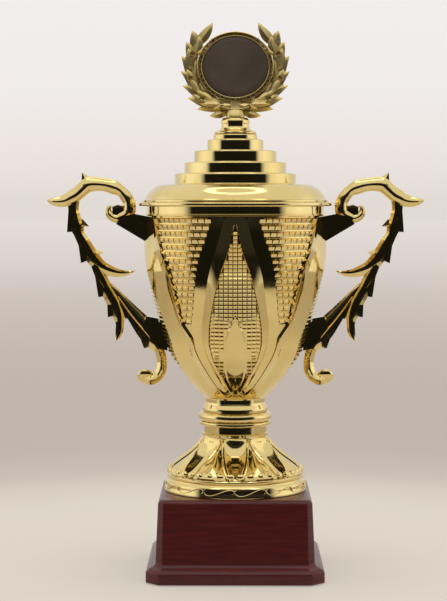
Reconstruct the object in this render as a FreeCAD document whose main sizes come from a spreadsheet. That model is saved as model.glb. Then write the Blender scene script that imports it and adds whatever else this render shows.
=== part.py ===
import FreeCAD, Part
import math
import os

import Sketcher

# Cup trophy. Millimetres, +Z up, origin at the centre of the underside.
# The front faces -Y and the handles stand out along X.

Vector = FreeCAD.Vector
Rotation = FreeCAD.Rotation
Placement = FreeCAD.Placement

doc = FreeCAD.newDocument("cup_trophy")


# ---------------------------------------------------------------- driving sizes

SIZES = {
    # square plinth, half widths
    "shell_bottom": 0.6,
    "plate_half": 64.4, "plate_cut": 9.5, "plate_top": 8.5, "hollow_cut": 8.5,
    "slope_half": 62.0, "slope_cut": 8.8, "slope_top": 10.9,
    "cove_half": 59.2, "cove_cut": 6.6, "cove_mid": 12.0,
    "block_half": 57.5, "block_cut": 5.0, "block_foot": 14.0,
    "crown_half": 55.5, "crown_cut": 4.0, "crown_z": 58.0,
    "cap_half": 53.4, "cap_cut": 3.2, "block_top": 60.2,
    "base_wall": 2.5,
    "boss_place": 49.0, "boss_rad": 4.0, "boss_end": 3.0, "boss_root": 0.5, "pilot_rad": 1.4,
    "pilot_deep": 14.0,
    "cover_half": 61.4, "cover_edge_cut": 8.4, "cover_low": 1.0,
    "felt_half": 60.8, "felt_cut": 8.0,
    "weight_half": 42.0, "weight_thick": 20.0, "weight_hole": 14.0,
    # threaded rod through plinth, foot, stem and bowl
    "rod_rad": 2.95, "rod_hole": 3.3, "rod_low": 47.0, "rod_high": 131.0,
    "washer_rad": 9.0, "washer_thick": 1.6, "nut_side": 10.0, "nut_thick": 5.0, "nut_hole": 3.0,
    # gold foot
    "band_rad": 52.7, "band_top_rad": 52.1, "band_top": 66.4,
    "tuck_rad": 50.0, "tuck_z": 69.8, "petal_rad": 50.8, "petal_z": 72.5, "petal_high": 76.2,
    "ankle_rad": 24.6, "ankle_z": 100.0, "ankle_top": 102.8, "foot_sweep": 69.0,
    "foot_neck": 23.4, "foot_top": 108.8, "foot_wall": 2.2,
    # rings of the stem
    "ring_rad": 26.5, "ring_top": 111.8, "bead_rad": 25.3, "bead_arc": 4.2, "bead_top": 118.5,
    "stem_bore": 15.0,
    # bowl
    "neck_rad": 23.3, "waist_z": 129.8, "knuckle_rad": 50.4, "knuckle_z": 162.7,
    "shoulder_rad": 61.1, "shoulder_z": 199.2, "belly_rad": 68.0, "belly_z": 240.0,
    "mouth_rad": 65.8, "mouth_z": 264.0, "bowl_wall": 2.2, "floor_thick": 2.5,
    "flare_arc": 138.0, "shoulder_arc": 108.0, "mouth_arc": 150.0,
    # rim band
    "ledge_rad": 66.2, "ledge_z": 265.2, "rim_rad": 65.6, "lip_low": 271.0, "lip_rad": 71.7,
    "lip_top": 273.7, "rim_bore": 61.4, "rim_plug": 63.4, "rim_plug_z": 258.0,
    # lid
    "seat_gap": 0.2, "flange_rad": 68.9, "flange_top": 275.6,
    "dome_rad_a": 65.9, "dome_z_a": 278.9, "dome_rad_b": 59.2, "dome_z_b": 285.5, "dome_top": 287.2,
    "tier_rad_a": 44.9, "tier_top_a": 295.0, "tier_rad_b": 37.7, "tier_top_b": 303.2,
    "tier_rad_c": 30.5, "tier_top_c": 311.8, "tier_rad_d": 20.7, "tier_top_d": 320.1,
    "tier_rad_e": 16.3, "tier_top_e": 324.0, "lid_wall": 2.0,
    "spigot_rad": 60.9, "spigot_low": 266.5, "spigot_root": 283.1, "shelf_rad": 51.9,
    "channel_rad": 64.5, "channel_top": 281.0, "channel_z": 277.6, "channel_low": 275.0,
    # knob, wreath and medallion
    "knob_foot": 15.6, "knob_shoulder": 13.8, "knob_shoulder_z": 326.4, "knob_neck": 10.0,
    "knob_neck_z": 330.9, "knob_head": 8.9, "knob_top": 336.1, "knob_arc": 8.0,
    "stub_rad": 7.0, "ring_centre": 373.6, "disc_half_x": 24.3, "disc_half_z": 22.0,
    "frame_half_x": 28.2, "frame_half_z": 26.1, "frame_half_y": 4.0, "leaf_half_y": 3.0,
    "crown_gap": 9.0, "crown_sink": 2.0,
    "recess_gap": 0.2, "disc_front": 2.4, "disc_thick": 1.2, "tape_thick": 0.5, "tape_half": 15.0,
    "stud_rad": 2.45, "stud_hole": 2.7, "stud_low": 312.0, "stud_high": 343.0,
    "socket_spare": 0.5,
    "small_washer": 5.0, "small_washer_thick": 1.0, "small_nut": 8.0, "small_nut_thick": 4.0,
    "small_nut_hole": 2.5,
    # handles and their screws
    "handle_half_y": 5.5, "upper_boss_half_y": 13.0, "boss_in": 60.0, "boss_out": 71.0,
    "boss_low": 247.2, "boss_mid_low": 249.2, "boss_mid_high": 260.5, "boss_high": 262.5,
    "upper_screw_z": 254.0, "lower_screw_z": 176.0,
    "handle_gap": 0.05, "wall_slack": 10.0, "screw_shank": 1.4, "screw_hole": 1.5, "wall_hole": 1.8,
    "screw_head": 3.2, "head_thick": 2.0, "thread_gap": 0.05, "screw_spare": 2.0, "screw_root": 1.0,
    "head_room": 0.1,
    "upper_head_x": 64.4, "lower_head_x": 51.1, "upper_tip_x": 76.0, "lower_tip_x": 66.0,
}

sheet = doc.addObject("Spreadsheet::Sheet", "Sizes")
for row, (alias, amount) in enumerate(SIZES.items(), start=1):
    sheet.set("A%d" % row, alias.replace("_", " "))
    sheet.set("B%d" % row, str(amount))
    sheet.setAlias("B%d" % row, alias)
doc.recompute()


def number(text):
    """Value of a sum of aliases and plain numbers, such as 'lip_rad - base_wall'."""
    total = 0.0
    for word in text.replace("-", "+-").split("+"):
        name = word.strip("- ")
        if name:
            amount = SIZES[name] if name in SIZES else float(name)
            total += -amount if "-" in word else amount
    return total


def formula(text):
    """The same sum as an expression on the sheet."""
    words = text.replace("-", " - ").replace("+", " + ").split()
    return " ".join("Sizes." + word if word in SIZES else word for word in words)


def minus(text):
    """The sum with every sign turned round."""
    flipped = text.strip().translate(str.maketrans("+-", "-+"))
    return flipped[1:].strip() if flipped.startswith("+") else "-" + flipped


def bind(thing, prop, text):
    thing.setExpression(prop, formula(text))


# ---------------------------------------------------------------- sketches and features

def new_body(label):
    body = doc.addObject("PartDesign::Body", label)
    body.Label = label
    return body


def new_sketch(body, name, plane, offset="0"):
    """An empty sketch on one of the body's origin planes, moved along its normal."""
    sketch = body.newObject("Sketcher::SketchObject", name)
    support = [item for item in body.Origin.OriginFeatures if item.Role == plane][0]
    sketch.AttachmentSupport = [(support, "")]
    sketch.MapMode = "FlatFace"
    bind(sketch, "AttachmentOffset.Base.z", offset)
    return sketch


def arc_between(start, end, radius, side):
    """Arc from start to end with its centre on the left or right of the way along it."""
    way = end - start
    across = Vector(-way.y, way.x, 0).normalize()
    if side == "right":
        across = -across
    rise = math.sqrt(radius ** 2 - (way.Length / 2) ** 2)
    centre = (start + end) * 0.5 + across * rise
    first, last = (start, end) if side == "left" else (end, start)
    angles = [math.atan2(spot.y - centre.y, spot.x - centre.x) for spot in (first, last)]
    return Part.ArcOfCircle(Part.Circle(centre, Vector(0, 0, 1), radius), angles[0], angles[1])


def fix_point(sketch, index, spot, texts):
    """Hold a point of the sketch at the two sums given for it."""
    for kind, axis, text in (("DistanceX", -2, texts[0]), ("DistanceY", -1, texts[1])):
        if number(text) == 0:
            sketch.addConstraint(Sketcher.Constraint("PointOnObject", index, spot, axis))
            continue
        held = sketch.addConstraint(Sketcher.Constraint(kind, -1, 1, index, spot, number(text)))
        bind(sketch, "Constraints[%d]" % held, text)


def draw_loop(sketch, corners):
    """A closed loop. A corner is (u, v), or (u, v, radius, side) where an arc leaves it."""
    ends = []
    for place, corner in enumerate(corners):
        following = corners[(place + 1) % len(corners)]
        start = Vector(number(corner[0]), number(corner[1]), 0)
        end = Vector(number(following[0]), number(following[1]), 0)
        if len(corner) == 2:
            index = sketch.addGeometry(Part.LineSegment(start, end), False)
            ends.append((index, 1, 2))
            continue
        index = sketch.addGeometry(arc_between(start, end, number(corner[2]), corner[3]), False)
        ends.append((index, 1, 2) if corner[3] == "left" else (index, 2, 1))
    for place, (index, first, last) in enumerate(ends):
        joined, joined_first = ends[(place + 1) % len(ends)][:2]
        sketch.addConstraint(Sketcher.Constraint("Coincident", index, last, joined, joined_first))
        fix_point(sketch, index, first, corners[place])
        if len(corners[place]) > 2:
            held = sketch.addConstraint(Sketcher.Constraint("Radius", index, number(corners[place][2])))
            bind(sketch, "Constraints[%d]" % held, corners[place][2])


def draw_circle(sketch, radius, u="0", v="0"):
    centre = Vector(number(u), number(v), 0)
    index = sketch.addGeometry(Part.Circle(centre, Vector(0, 0, 1), number(radius)), False)
    held = sketch.addConstraint(Sketcher.Constraint("Radius", index, number(radius)))
    bind(sketch, "Constraints[%d]" % held, radius)
    fix_point(sketch, index, 3, (u, v))


def turned(label, corners):
    """A body turned about Z from a profile of (radius, height) corners."""
    body = new_body(label)
    sketch = new_sketch(body, label + "_profile", "XZ_Plane")
    draw_loop(sketch, corners)
    spin = body.newObject("PartDesign::Revolution", label + "_turn")
    spin.Profile = sketch
    spin.ReferenceAxis = (sketch, ["V_Axis"])
    spin.Angle = 360
    return body


def pad(body, sketch, length, midplane=False):
    feature = body.newObject("PartDesign::Pad", sketch.Name + "_pad")
    feature.Profile = sketch
    feature.Midplane = midplane
    bind(feature, "Length", length)
    return feature


def pocket(body, sketch, length, backwards=False, midplane=False):
    """Cut from the sketch against its normal, or along it when backwards."""
    feature = body.newObject("PartDesign::Pocket", sketch.Name + "_cut")
    feature.Profile = sketch
    feature.Midplane = midplane
    feature.Reversed = backwards
    bind(feature, "Length", length)
    return feature


def octagon(half, cut):
    """Corners of a square with its corners cut off."""
    inner = half + " - " + cut
    quarter = [(half, minus(inner)), (half, inner), (inner, half), (minus(inner), half)]
    return quarter + [(minus(u), minus(v)) for u, v in quarter]


def primitive(kind, name, sizes, place=("0", "0", "0"), turn=None):
    """A Part primitive with its sizes and its place bound to the sheet."""
    item = doc.addObject("Part::" + kind, name)
    item.Placement = Placement(Vector(), turn or Rotation())
    for prop, text in sizes.items():
        bind(item, prop, text)
    for axis, text in zip("xyz", place):
        bind(item, "Placement.Base." + axis, text)
    return item


def cut(label, base, tool):
    item = doc.addObject("Part::Cut", label)
    item.Label = label
    item.Base = base
    item.Tool = tool
    return item


def fuse(label, shapes):
    item = doc.addObject("Part::MultiFuse", label)
    item.Label = label
    item.Shapes = shapes
    return item


def group(label, links):
    item = doc.addObject("Part::Compound", label)
    item.Label = label
    item.Links = links
    return item


def hex_nut(label, across_flats, thick, bore, low):
    """Nut standing on height low, its bore on the trophy's axis."""
    blank = primitive("Prism", label + "_blank", {}, ("0", "0", low))
    blank.Polygon = 6
    blank.setExpression("Circumradius", formula(across_flats) + " / 2 / cos(30)")
    bind(blank, "Height", thick)
    hole = primitive("Cylinder", label + "_bore", {"Radius": bore, "Height": thick}, ("0", "0", low))
    return cut(label, blank, hole)


def flat_washer(label, radius, thick, bore, low):
    blank = primitive("Cylinder", label + "_blank", {"Radius": radius, "Height": thick}, ("0", "0", low))
    hole = primitive("Cylinder", label + "_bore", {"Radius": bore, "Height": thick}, ("0", "0", low))
    return cut(label, blank, hole)


# ---------------------------------------------------------------- plinth

def base_shell():
    """Hollow moulded plinth: foot plate, cove and block, open underneath."""
    body = new_body("base_shell")
    sections = [
        ("plate_half", "plate_cut", "shell_bottom"), ("plate_half", "plate_cut", "plate_top"),
        ("slope_half", "slope_cut", "slope_top"), ("cove_half", "cove_cut", "cove_mid"),
        ("block_half", "block_cut", "block_foot"), ("crown_half", "crown_cut", "crown_z"),
        ("cap_half", "cap_cut", "block_top"),
    ]
    outlines = []
    for place, (half, edge, height) in enumerate(sections):
        sketch = new_sketch(body, "plinth_section_%d" % place, "XY_Plane", height)
        draw_loop(sketch, octagon(half, edge))
        outlines.append(sketch)
    loft = body.newObject("PartDesign::AdditiveLoft", "plinth_loft")
    loft.Profile = outlines[0]
    loft.Sections = outlines[1:]
    loft.Ruled = True

    hollow = []
    inner_sections = [
        ("block_half", "block_cut", "shell_bottom"),
        ("crown_half", "crown_cut", "block_top - base_wall"),
    ]
    for place, (half, edge, height) in enumerate(inner_sections):
        sketch = new_sketch(body, "hollow_section_%d" % place, "XY_Plane", height)
        draw_loop(sketch, octagon(half + " - base_wall", edge))
        hollow.append(sketch)
    core = body.newObject("PartDesign::SubtractiveLoft", "block_hollow")
    core.Profile = hollow[0]
    core.Sections = hollow[1:]
    core.Ruled = True

    under = new_sketch(body, "plate_hollow", "XY_Plane", "shell_bottom")
    draw_loop(under, octagon("plate_half - base_wall", "hollow_cut"))
    pocket(body, under, "plate_top - base_wall", backwards=True)

    bosses = new_sketch(body, "bosses", "XY_Plane", "boss_end")
    pilots = new_sketch(body, "pilot_holes", "XY_Plane", "boss_end")
    for u, v in boss_places():
        draw_circle(bosses, "boss_rad", u, v)
        draw_circle(pilots, "pilot_rad", u, v)
    pad(body, bosses, "block_top - boss_end - base_wall + boss_root")
    pocket(body, pilots, "pilot_deep", backwards=True)

    hole = new_sketch(body, "rod_passage", "XY_Plane", "block_top")
    draw_circle(hole, "rod_hole")
    pocket(body, hole, "base_wall")
    return body


def boss_places():
    """Centres of the four screw bosses, one in each corner."""
    sums = ("boss_place", "-boss_place")
    return [(u, v) for u in sums for v in sums]


def base_cover():
    """Fibreboard sheet with a countersunk hole at each boss."""
    body = new_body("base_cover")
    sheet_outline = new_sketch(body, "cover_outline", "XY_Plane", "cover_low")
    draw_loop(sheet_outline, octagon("cover_half", "cover_edge_cut"))
    pad(body, sheet_outline, "boss_end - cover_low")
    holes = new_sketch(body, "cover_holes", "XY_Plane", "boss_end")
    for u, v in boss_places():
        draw_circle(holes, "screw_head + head_room", u, v)
    pocket(body, holes, "boss_end - cover_low")
    return body


def base_felt():
    body = new_body("base_felt")
    outline = new_sketch(body, "felt_outline", "XY_Plane")
    draw_loop(outline, octagon("felt_half", "felt_cut"))
    pad(body, outline, "cover_low")
    return body


def cover_screws():
    """Four flat-headed screws, heads in the cover and shanks in the bosses."""
    screws = []
    for place, (x, y) in enumerate(boss_places()):
        name = "cover_screw_%d" % place
        head = primitive("Cone", name + "_head", {
            "Radius1": "screw_head", "Radius2": "screw_shank", "Height": "boss_end - cover_low",
        }, (x, y, "cover_low"))
        shank = primitive("Cylinder", name + "_shank", {
            "Radius": "screw_shank - thread_gap", "Height": "pilot_deep - screw_spare",
        }, (x, y, "boss_end - screw_root"))
        screws.append(fuse(name, [head, shank]))
    return group("cover_screws", screws)


def base_weight():
    """Cast plaster block under the plinth's top, with a well for the nut."""
    low = "block_top - base_wall - weight_thick"
    corner = "-weight_half"
    block = primitive("Box", "weight_block", {
        "Length": "weight_half + weight_half", "Width": "weight_half + weight_half",
        "Height": "weight_thick",
    }, (corner, corner, low))
    well = primitive("Cylinder", "weight_well", {
        "Radius": "weight_hole", "Height": "weight_thick",
    }, ("0", "0", low))
    return cut("base_weight", block, well)


def tie_rod():
    rod = primitive("Cylinder", "tie_rod", {
        "Radius": "rod_rad", "Height": "rod_high - rod_low",
    }, ("0", "0", "rod_low"))
    rod.Label = "tie_rod"
    return rod


# ---------------------------------------------------------------- foot and stem

def foot_bell():
    """Flared foot: plain band, tuck, sweeping bell and neck, moulded hollow."""
    return turned("foot_bell", [
        ("band_rad", "block_top"), ("band_top_rad", "band_top"), ("tuck_rad", "tuck_z"),
        ("petal_rad", "petal_z"), ("tuck_rad", "petal_high", "foot_sweep", "right"),
        ("ankle_rad", "ankle_z"), ("ankle_rad", "ankle_top"), ("foot_neck", "ankle_top"),
        ("foot_neck", "foot_top"), ("rod_hole", "foot_top"), ("rod_hole", "foot_top - foot_wall"),
        ("foot_neck - foot_wall", "foot_top - foot_wall"),
        ("foot_neck - foot_wall", "ankle_z - 1", "foot_sweep", "left"),
        ("tuck_rad - foot_wall", "petal_high - 2"), ("tuck_rad - foot_wall", "band_top"),
        ("band_rad - foot_wall", "block_top"),
    ])


def stem_ring():
    return turned("stem_ring", [
        ("stem_bore", "foot_top"), ("ring_rad", "foot_top"), ("ring_rad", "ring_top"),
        ("stem_bore", "ring_top"),
    ])


def stem_bead():
    return turned("stem_bead", [
        ("stem_bore", "ring_top"), ("bead_rad", "ring_top", "bead_arc", "left"),
        ("bead_rad", "bead_top"), ("stem_bore", "bead_top"),
    ])


# ---------------------------------------------------------------- bowl and rim

BOWL_OUTSIDE = [
    ("neck_rad", "bead_top"), ("neck_rad", "waist_z", "flare_arc", "left"),
    ("knuckle_rad", "knuckle_z"), ("shoulder_rad", "shoulder_z", "shoulder_arc", "left"),
    ("belly_rad", "belly_z", "mouth_arc", "left"), ("mouth_rad", "mouth_z"),
]


def bowl():
    """Hollow cup with a thick floor at the bottom of its neck."""
    body = turned("bowl", BOWL_OUTSIDE + [
        ("mouth_rad - bowl_wall", "mouth_z", "mouth_arc", "right"),
        ("belly_rad - bowl_wall", "belly_z", "shoulder_arc", "right"),
        ("shoulder_rad - bowl_wall", "shoulder_z"),
        ("knuckle_rad - bowl_wall", "knuckle_z", "flare_arc", "right"),
        ("neck_rad - bowl_wall", "waist_z"), ("neck_rad - bowl_wall", "bead_top + floor_thick"),
        ("rod_hole", "bead_top + floor_thick"), ("rod_hole", "bead_top"),
    ])
    holes = new_sketch(body, "handle_screw_holes", "YZ_Plane")
    for height in ("upper_screw_z", "lower_screw_z"):
        draw_circle(holes, "wall_hole", "0", height)
    pocket(body, holes, "belly_rad + belly_rad + wall_slack", midplane=True)
    return body


def rim_band():
    """Plug inside the mouth, plain band and flat lip."""
    return turned("rim_band", [
        ("rim_bore", "rim_plug_z"), ("rim_plug", "rim_plug_z"), ("rim_plug", "mouth_z"),
        ("ledge_rad", "mouth_z"), ("ledge_rad", "ledge_z"), ("rim_rad", "ledge_z"),
        ("rim_rad", "lip_low"), ("lip_rad", "lip_low"), ("lip_rad", "lip_top"),
        ("rim_bore", "lip_top"),
    ])


# ---------------------------------------------------------------- handles

# The handle's outline as stretches of (distance from the axis, height). A stretch of two
# points is straight, a longer one is a smooth curve, and stretches meet at sharp corners.
HANDLE_OUTLINE = [
    # thorn at the top and the head's back, down and round to the curl's tip
    [(113.7, 295.3), (108.5, 292.7), (98.0, 291.7), (84.5, 287.0), (75.2, 277.1), (73.7, 270.0)],
    # stub that meets the bowl under the rim
    [(73.7, 270.0), (73.4, 265.2), (65.0, 263.0)],
    [(65.0, 263.0), (60.0, 255.0), (64.0, 247.0)],
    [(64.0, 247.0), (76.0, 249.5), (87.8, 257.0)],
    # underside of the curl and the gap inside it
    [(87.8, 257.0), (93.6, 260.6), (96.3, 266.6), (92.8, 271.2)],
    [(92.8, 271.2), (90.8, 271.3), (89.2, 271.1)],
    [(89.2, 271.1), (86.1, 270.3), (83.5, 269.2), (83.4, 273.4), (89.2, 279.7), (99.5, 282.4),
     (111.6, 279.2)],
    # inside of the upper stem, with two thorns
    [(111.6, 279.2), (115.6, 273.5), (115.4, 266.0), (111.6, 258.9)],
    [(111.6, 258.9), (108.0, 256.2)],
    [(108.0, 256.2), (112.3, 253.6)],
    [(112.3, 253.6), (110.0, 246.8), (104.3, 239.6)],
    [(104.3, 239.6), (98.5, 236.7)],
    [(98.5, 236.7), (100.7, 233.4)],
    [(100.7, 233.4), (98.4, 229.6), (92.8, 227.1)],
    # leaf that points in towards the bowl
    [(92.8, 227.1), (84.0, 223.8), (74.5, 223.0)],
    [(74.5, 223.0), (82.2, 219.1), (90.0, 218.4)],
    # inside of the lower stem down to the pad against the bowl
    [(90.0, 218.4), (93.8, 217.2), (90.5, 211.1), (82.2, 202.8), (69.5, 192.7), (60.6, 188.2)],
    [(60.6, 188.2), (54.6, 188.4)],
    [(54.6, 188.4), (49.0, 175.0), (49.8, 164.6)],
    # curl under the pad
    [(49.8, 164.6), (51.0, 153.5), (55.0, 141.6), (64.0, 137.7), (72.4, 141.4), (72.0, 147.6),
     (66.9, 150.4), (60.5, 146.6)],
    [(60.5, 146.6), (58.2, 152.0), (60.5, 161.3), (62.4, 165.4)],
    # outside of the lower stem, with its thorns and the leaf that hangs
    [(62.4, 165.4), (68.2, 165.4)],
    [(68.2, 165.4), (68.2, 172.6), (76.5, 188.8)],
    [(76.5, 188.8), (82.2, 187.5)],
    [(82.2, 187.5), (83.4, 178.0), (89.3, 170.9)],
    [(89.3, 170.9), (89.4, 178.0), (88.7, 183.7), (89.6, 188.8)],
    [(89.6, 188.8), (94.7, 188.8)],
    [(94.7, 188.8), (93.1, 196.4), (95.0, 203.5)],
    [(95.0, 203.5), (101.7, 203.5)],
    [(101.7, 203.5), (101.2, 212.5), (104.6, 222.4), (109.5, 229.5)],
    [(109.5, 229.5), (114.7, 229.2)],
    [(114.7, 229.2), (114.0, 237.0), (119.4, 251.3)],
    [(119.4, 251.3), (125.4, 251.3)],
    [(125.4, 251.3), (123.6, 260.0), (124.1, 270.9)],
    # beak
    [(124.1, 270.9), (131.4, 270.5), (139.9, 274.5)],
    [(139.9, 274.5), (139.9, 276.6)],
    [(139.9, 276.6), (128.0, 279.0), (115.8, 287.0), (112.6, 289.6)],
    [(112.6, 289.6), (113.7, 295.3)],
]


# Broad foot of the upper stub, which spreads over the bowl under the rim.
UPPER_BOSS = [
    ("boss_in", "boss_low"), ("boss_out", "boss_mid_low"), ("boss_out", "boss_mid_high"),
    ("boss_in", "boss_high"),
]


def handle(label, side):
    """Moulded handle, cut to the bowl's outside, with a blind hole for each screw."""
    body = new_body(label)
    outline = new_sketch(body, label + "_outline", "XZ_Plane")
    for stretch in HANDLE_OUTLINE:
        points = [Vector(side * out, height, 0) for out, height in stretch]
        if len(points) == 2:
            outline.addGeometry(Part.LineSegment(points[0], points[1]), False)
        else:
            curve = Part.BSplineCurve()
            curve.interpolate(points)
            outline.addGeometry(curve, False)
    pad(body, outline, "handle_half_y + handle_half_y", midplane=True)
    boss = new_sketch(body, label + "_boss", "XZ_Plane")
    draw_loop(boss, [(out if side > 0 else minus(out), height) for out, height in UPPER_BOSS])
    pad(body, boss, "upper_boss_half_y + upper_boss_half_y", midplane=True)

    seat = new_sketch(body, label + "_seat", "XZ_Plane")
    wall = [(corner[0] + " + handle_gap",) + corner[1:] for corner in BOWL_OUTSIDE]
    draw_loop(seat, wall + [("0", "mouth_z"), ("0", "bead_top")])
    groove = body.newObject("PartDesign::Groove", label + "_seat_cut")
    groove.Profile = seat
    groove.ReferenceAxis = (seat, ["V_Axis"])
    groove.Angle = 360

    for name, height, reach in (("upper", "upper_screw_z", "upper_tip_x"),
                                ("lower", "lower_screw_z", "lower_tip_x")):
        hole = new_sketch(body, "%s_%s_hole" % (label, name), "YZ_Plane")
        draw_circle(hole, "screw_hole", "0", height)
        pocket(body, hole, reach, backwards=side > 0)
    return body


def handle_screws(label, side):
    """Two pan-headed screws driven outwards from inside the bowl."""
    turn = Rotation(Vector(0, 1, 0), 90 * side)
    screws = []
    for name, height, head, tip in (("upper", "upper_screw_z", "upper_head_x", "upper_tip_x"),
                                    ("lower", "lower_screw_z", "lower_head_x", "lower_tip_x")):
        near = head if side > 0 else minus(head)
        back = head + " - head_thick"
        cap = primitive("Cylinder", "%s_%s_head" % (label, name), {
            "Radius": "screw_head", "Height": "head_thick",
        }, (back if side > 0 else minus(back), "0", height), turn)
        shank = primitive("Cylinder", "%s_%s_shank" % (label, name), {
            "Radius": "screw_shank", "Height": tip + " - " + head + " - screw_root",
        }, (near, "0", height), turn)
        screws.append(fuse("%s_%s" % (label, name), [cap, shank]))
    return group(label, screws)


# ---------------------------------------------------------------- lid and topper

def lid():
    """Hollow stepped lid: flange on the rim, spigot inside it, dome and five tiers."""
    tiers = [("tier_rad_" + step, "tier_top_" + step) for step in "abcde"]
    outside = [
        ("flange_rad", "lip_top + seat_gap"), ("flange_rad", "flange_top"),
        ("dome_rad_a", "dome_z_a"), ("dome_rad_b", "dome_z_b"), ("shelf_rad", "dome_top"),
    ]
    floor = "dome_top"
    for radius, top in tiers:
        outside += [(radius, floor), (radius, top)]
        floor = top
    inside = [("stud_hole", floor), ("stud_hole", floor + " - lid_wall")]
    for place in range(len(tiers) - 1, -1, -1):
        radius, top = tiers[place]
        below = tiers[place - 1][1] if place else "dome_top"
        wall = radius + " - lid_wall"
        inside += [(wall, top + " - lid_wall"), (wall, below + " - lid_wall")]
    inside += [
        ("shelf_rad", "dome_top - lid_wall"), ("spigot_rad - lid_wall", "spigot_root"),
        ("spigot_rad - lid_wall", "spigot_low"), ("spigot_rad", "spigot_low"),
        ("spigot_rad", "channel_top"), ("channel_rad", "channel_z"),
        ("flange_rad - lid_wall", "channel_low"), ("flange_rad - lid_wall", "lip_top + seat_gap"),
    ]
    return turned("lid", outside + inside)


def finial_knob():
    return turned("finial_knob", [
        ("stud_hole", "tier_top_e"), ("knob_foot", "tier_top_e"),
        ("knob_shoulder", "knob_shoulder_z", "knob_arc", "right"), ("knob_neck", "knob_neck_z"),
        ("knob_head", "knob_top"), ("stud_hole", "knob_top"),
    ])


LEAF_TIPS = [
    (19.0, 337.6), (28.4, 342.7), (35.0, 350.5), (39.0, 359.7), (40.2, 370.3), (39.8, 381.4),
    (36.4, 391.9), (32.0, 400.3), (16.6, 406.2),
]
LEAF_NOTCH = 0.80


def wreath():
    """Laurel frame: toothed plate of leaves, thicker ring, and a recess for the medallion."""
    body = new_body("wreath")
    leaves = new_sketch(body, "leaf_outline", "XZ_Plane")
    middle = SIZES["ring_centre"]
    right = [(SIZES["stub_rad"], SIZES["knob_top"])]
    for place, (x, z) in enumerate(LEAF_TIPS):
        right.append((x, z))
        if place + 1 < len(LEAF_TIPS):
            next_x, next_z = LEAF_TIPS[place + 1]
            notch_x = (x + next_x) / 2 * LEAF_NOTCH
            notch_z = middle + ((z + next_z) / 2 - middle) * LEAF_NOTCH
            right.append((notch_x, notch_z))
    right.append((SIZES["crown_gap"], middle + SIZES["frame_half_z"] - SIZES["crown_sink"]))
    left = [(-x, z) for x, z in reversed(right)]
    draw_loop(leaves, [("%.3f" % x, "%.3f" % z) for x, z in right + left])
    pad(body, leaves, "leaf_half_y + leaf_half_y", midplane=True)

    ring = new_sketch(body, "ring_outline", "XZ_Plane")
    draw_ellipse(ring, "frame_half_x", "frame_half_z")
    pad(body, ring, "frame_half_y + frame_half_y", midplane=True)

    recess = new_sketch(body, "recess_outline", "XZ_Plane", "frame_half_y")
    draw_ellipse(recess, "disc_half_x + recess_gap", "disc_half_z + recess_gap")
    pocket(body, recess, "frame_half_y - disc_front + disc_thick + tape_thick")

    socket = new_sketch(body, "stud_socket", "XY_Plane", "knob_top")
    draw_circle(socket, "stud_rad + thread_gap")
    pocket(body, socket, "stud_high - knob_top + socket_spare", backwards=True)
    return body


def draw_ellipse(sketch, half_x, half_z):
    """Upright oval about the medallion's centre, held by its two axes."""
    centre = Vector(0, number("ring_centre"), 0)
    across, up = number(half_x), number(half_z)
    oval = Part.Ellipse(centre + Vector(across, 0, 0), centre + Vector(0, up, 0), centre)
    index = sketch.addGeometry(oval, False)
    fix_point(sketch, index, 3, ("0", "ring_centre"))


def medallion_disc():
    """Thin oval disc in the wreath's recess."""
    body = new_body("medallion_disc")
    face = new_sketch(body, "disc_outline", "XZ_Plane", "disc_front - disc_thick")
    draw_ellipse(face, "disc_half_x", "disc_half_z")
    pad(body, face, "disc_thick")
    return body


def disc_adhesive():
    """Round foam pad that holds the disc to the recess's floor."""
    pad_disc = primitive("Cylinder", "disc_adhesive", {
        "Radius": "tape_half", "Height": "tape_thick",
    }, ("0", "disc_thick - disc_front", "ring_centre"), Rotation(Vector(1, 0, 0), -90))
    pad_disc.Label = "disc_adhesive"
    return pad_disc


def topper_stud():
    stud = primitive("Cylinder", "topper_stud", {
        "Radius": "stud_rad", "Height": "stud_high - stud_low",
    }, ("0", "0", "stud_low"))
    stud.Label = "topper_stud"
    return stud


# ---------------------------------------------------------------- assembly

base_nut_top = "block_top - base_wall - washer_thick"
bowl_floor = "bead_top + floor_thick"
lid_ceiling = "tier_top_e - lid_wall"

pieces = [
    base_shell(), base_weight(), base_cover(), base_felt(), cover_screws(), tie_rod(),
    flat_washer("base_washer", "washer_rad", "washer_thick", "rod_hole", base_nut_top),
    hex_nut("base_nut", "nut_side", "nut_thick", "nut_hole", base_nut_top + " - nut_thick"),
    foot_bell(), stem_ring(), stem_bead(), bowl(), rim_band(),
    flat_washer("bowl_washer", "washer_rad", "washer_thick", "rod_hole", bowl_floor),
    hex_nut("bowl_nut", "nut_side", "nut_thick", "nut_hole", bowl_floor + " + washer_thick"),
    handle("handle_left", -1), handle("handle_right", 1),
    handle_screws("handle_screws_left", -1), handle_screws("handle_screws_right", 1),
    lid(), finial_knob(), wreath(), medallion_disc(), disc_adhesive(), topper_stud(),
    flat_washer("topper_washer", "small_washer", "small_washer_thick", "stud_hole",
                lid_ceiling + " - small_washer_thick"),
    hex_nut("topper_nut", "small_nut", "small_nut_thick", "small_nut_hole",
            lid_ceiling + " - small_washer_thick - small_nut_thick"),
]
doc.recompute()

for item in doc.Objects:
    if "Invalid" in item.State or "Error" in item.State:
        raise RuntimeError("%s did not recompute: %s" % (item.Label, item.State))

os.makedirs("parts", exist_ok=True)
for piece in pieces:
    shape = piece.Shape
    if shape.isNull() or not shape.isValid() or not shape.Solids:
        raise RuntimeError("%s has no valid solid" % piece.Label)
    shape.exportStep("parts/%s.step" % piece.Label)
    box = shape.BoundBox
    print("%-20s %2d solid(s) %9.1f mm3  z %6.1f to %6.1f  x %6.1f to %6.1f"
          % (piece.Label, len(shape.Solids), shape.Volume, box.ZMin, box.ZMax, box.XMin, box.XMax))
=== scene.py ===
"""Lidded presentation cup: the moulded and metallised pieces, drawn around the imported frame."""
import math

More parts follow.
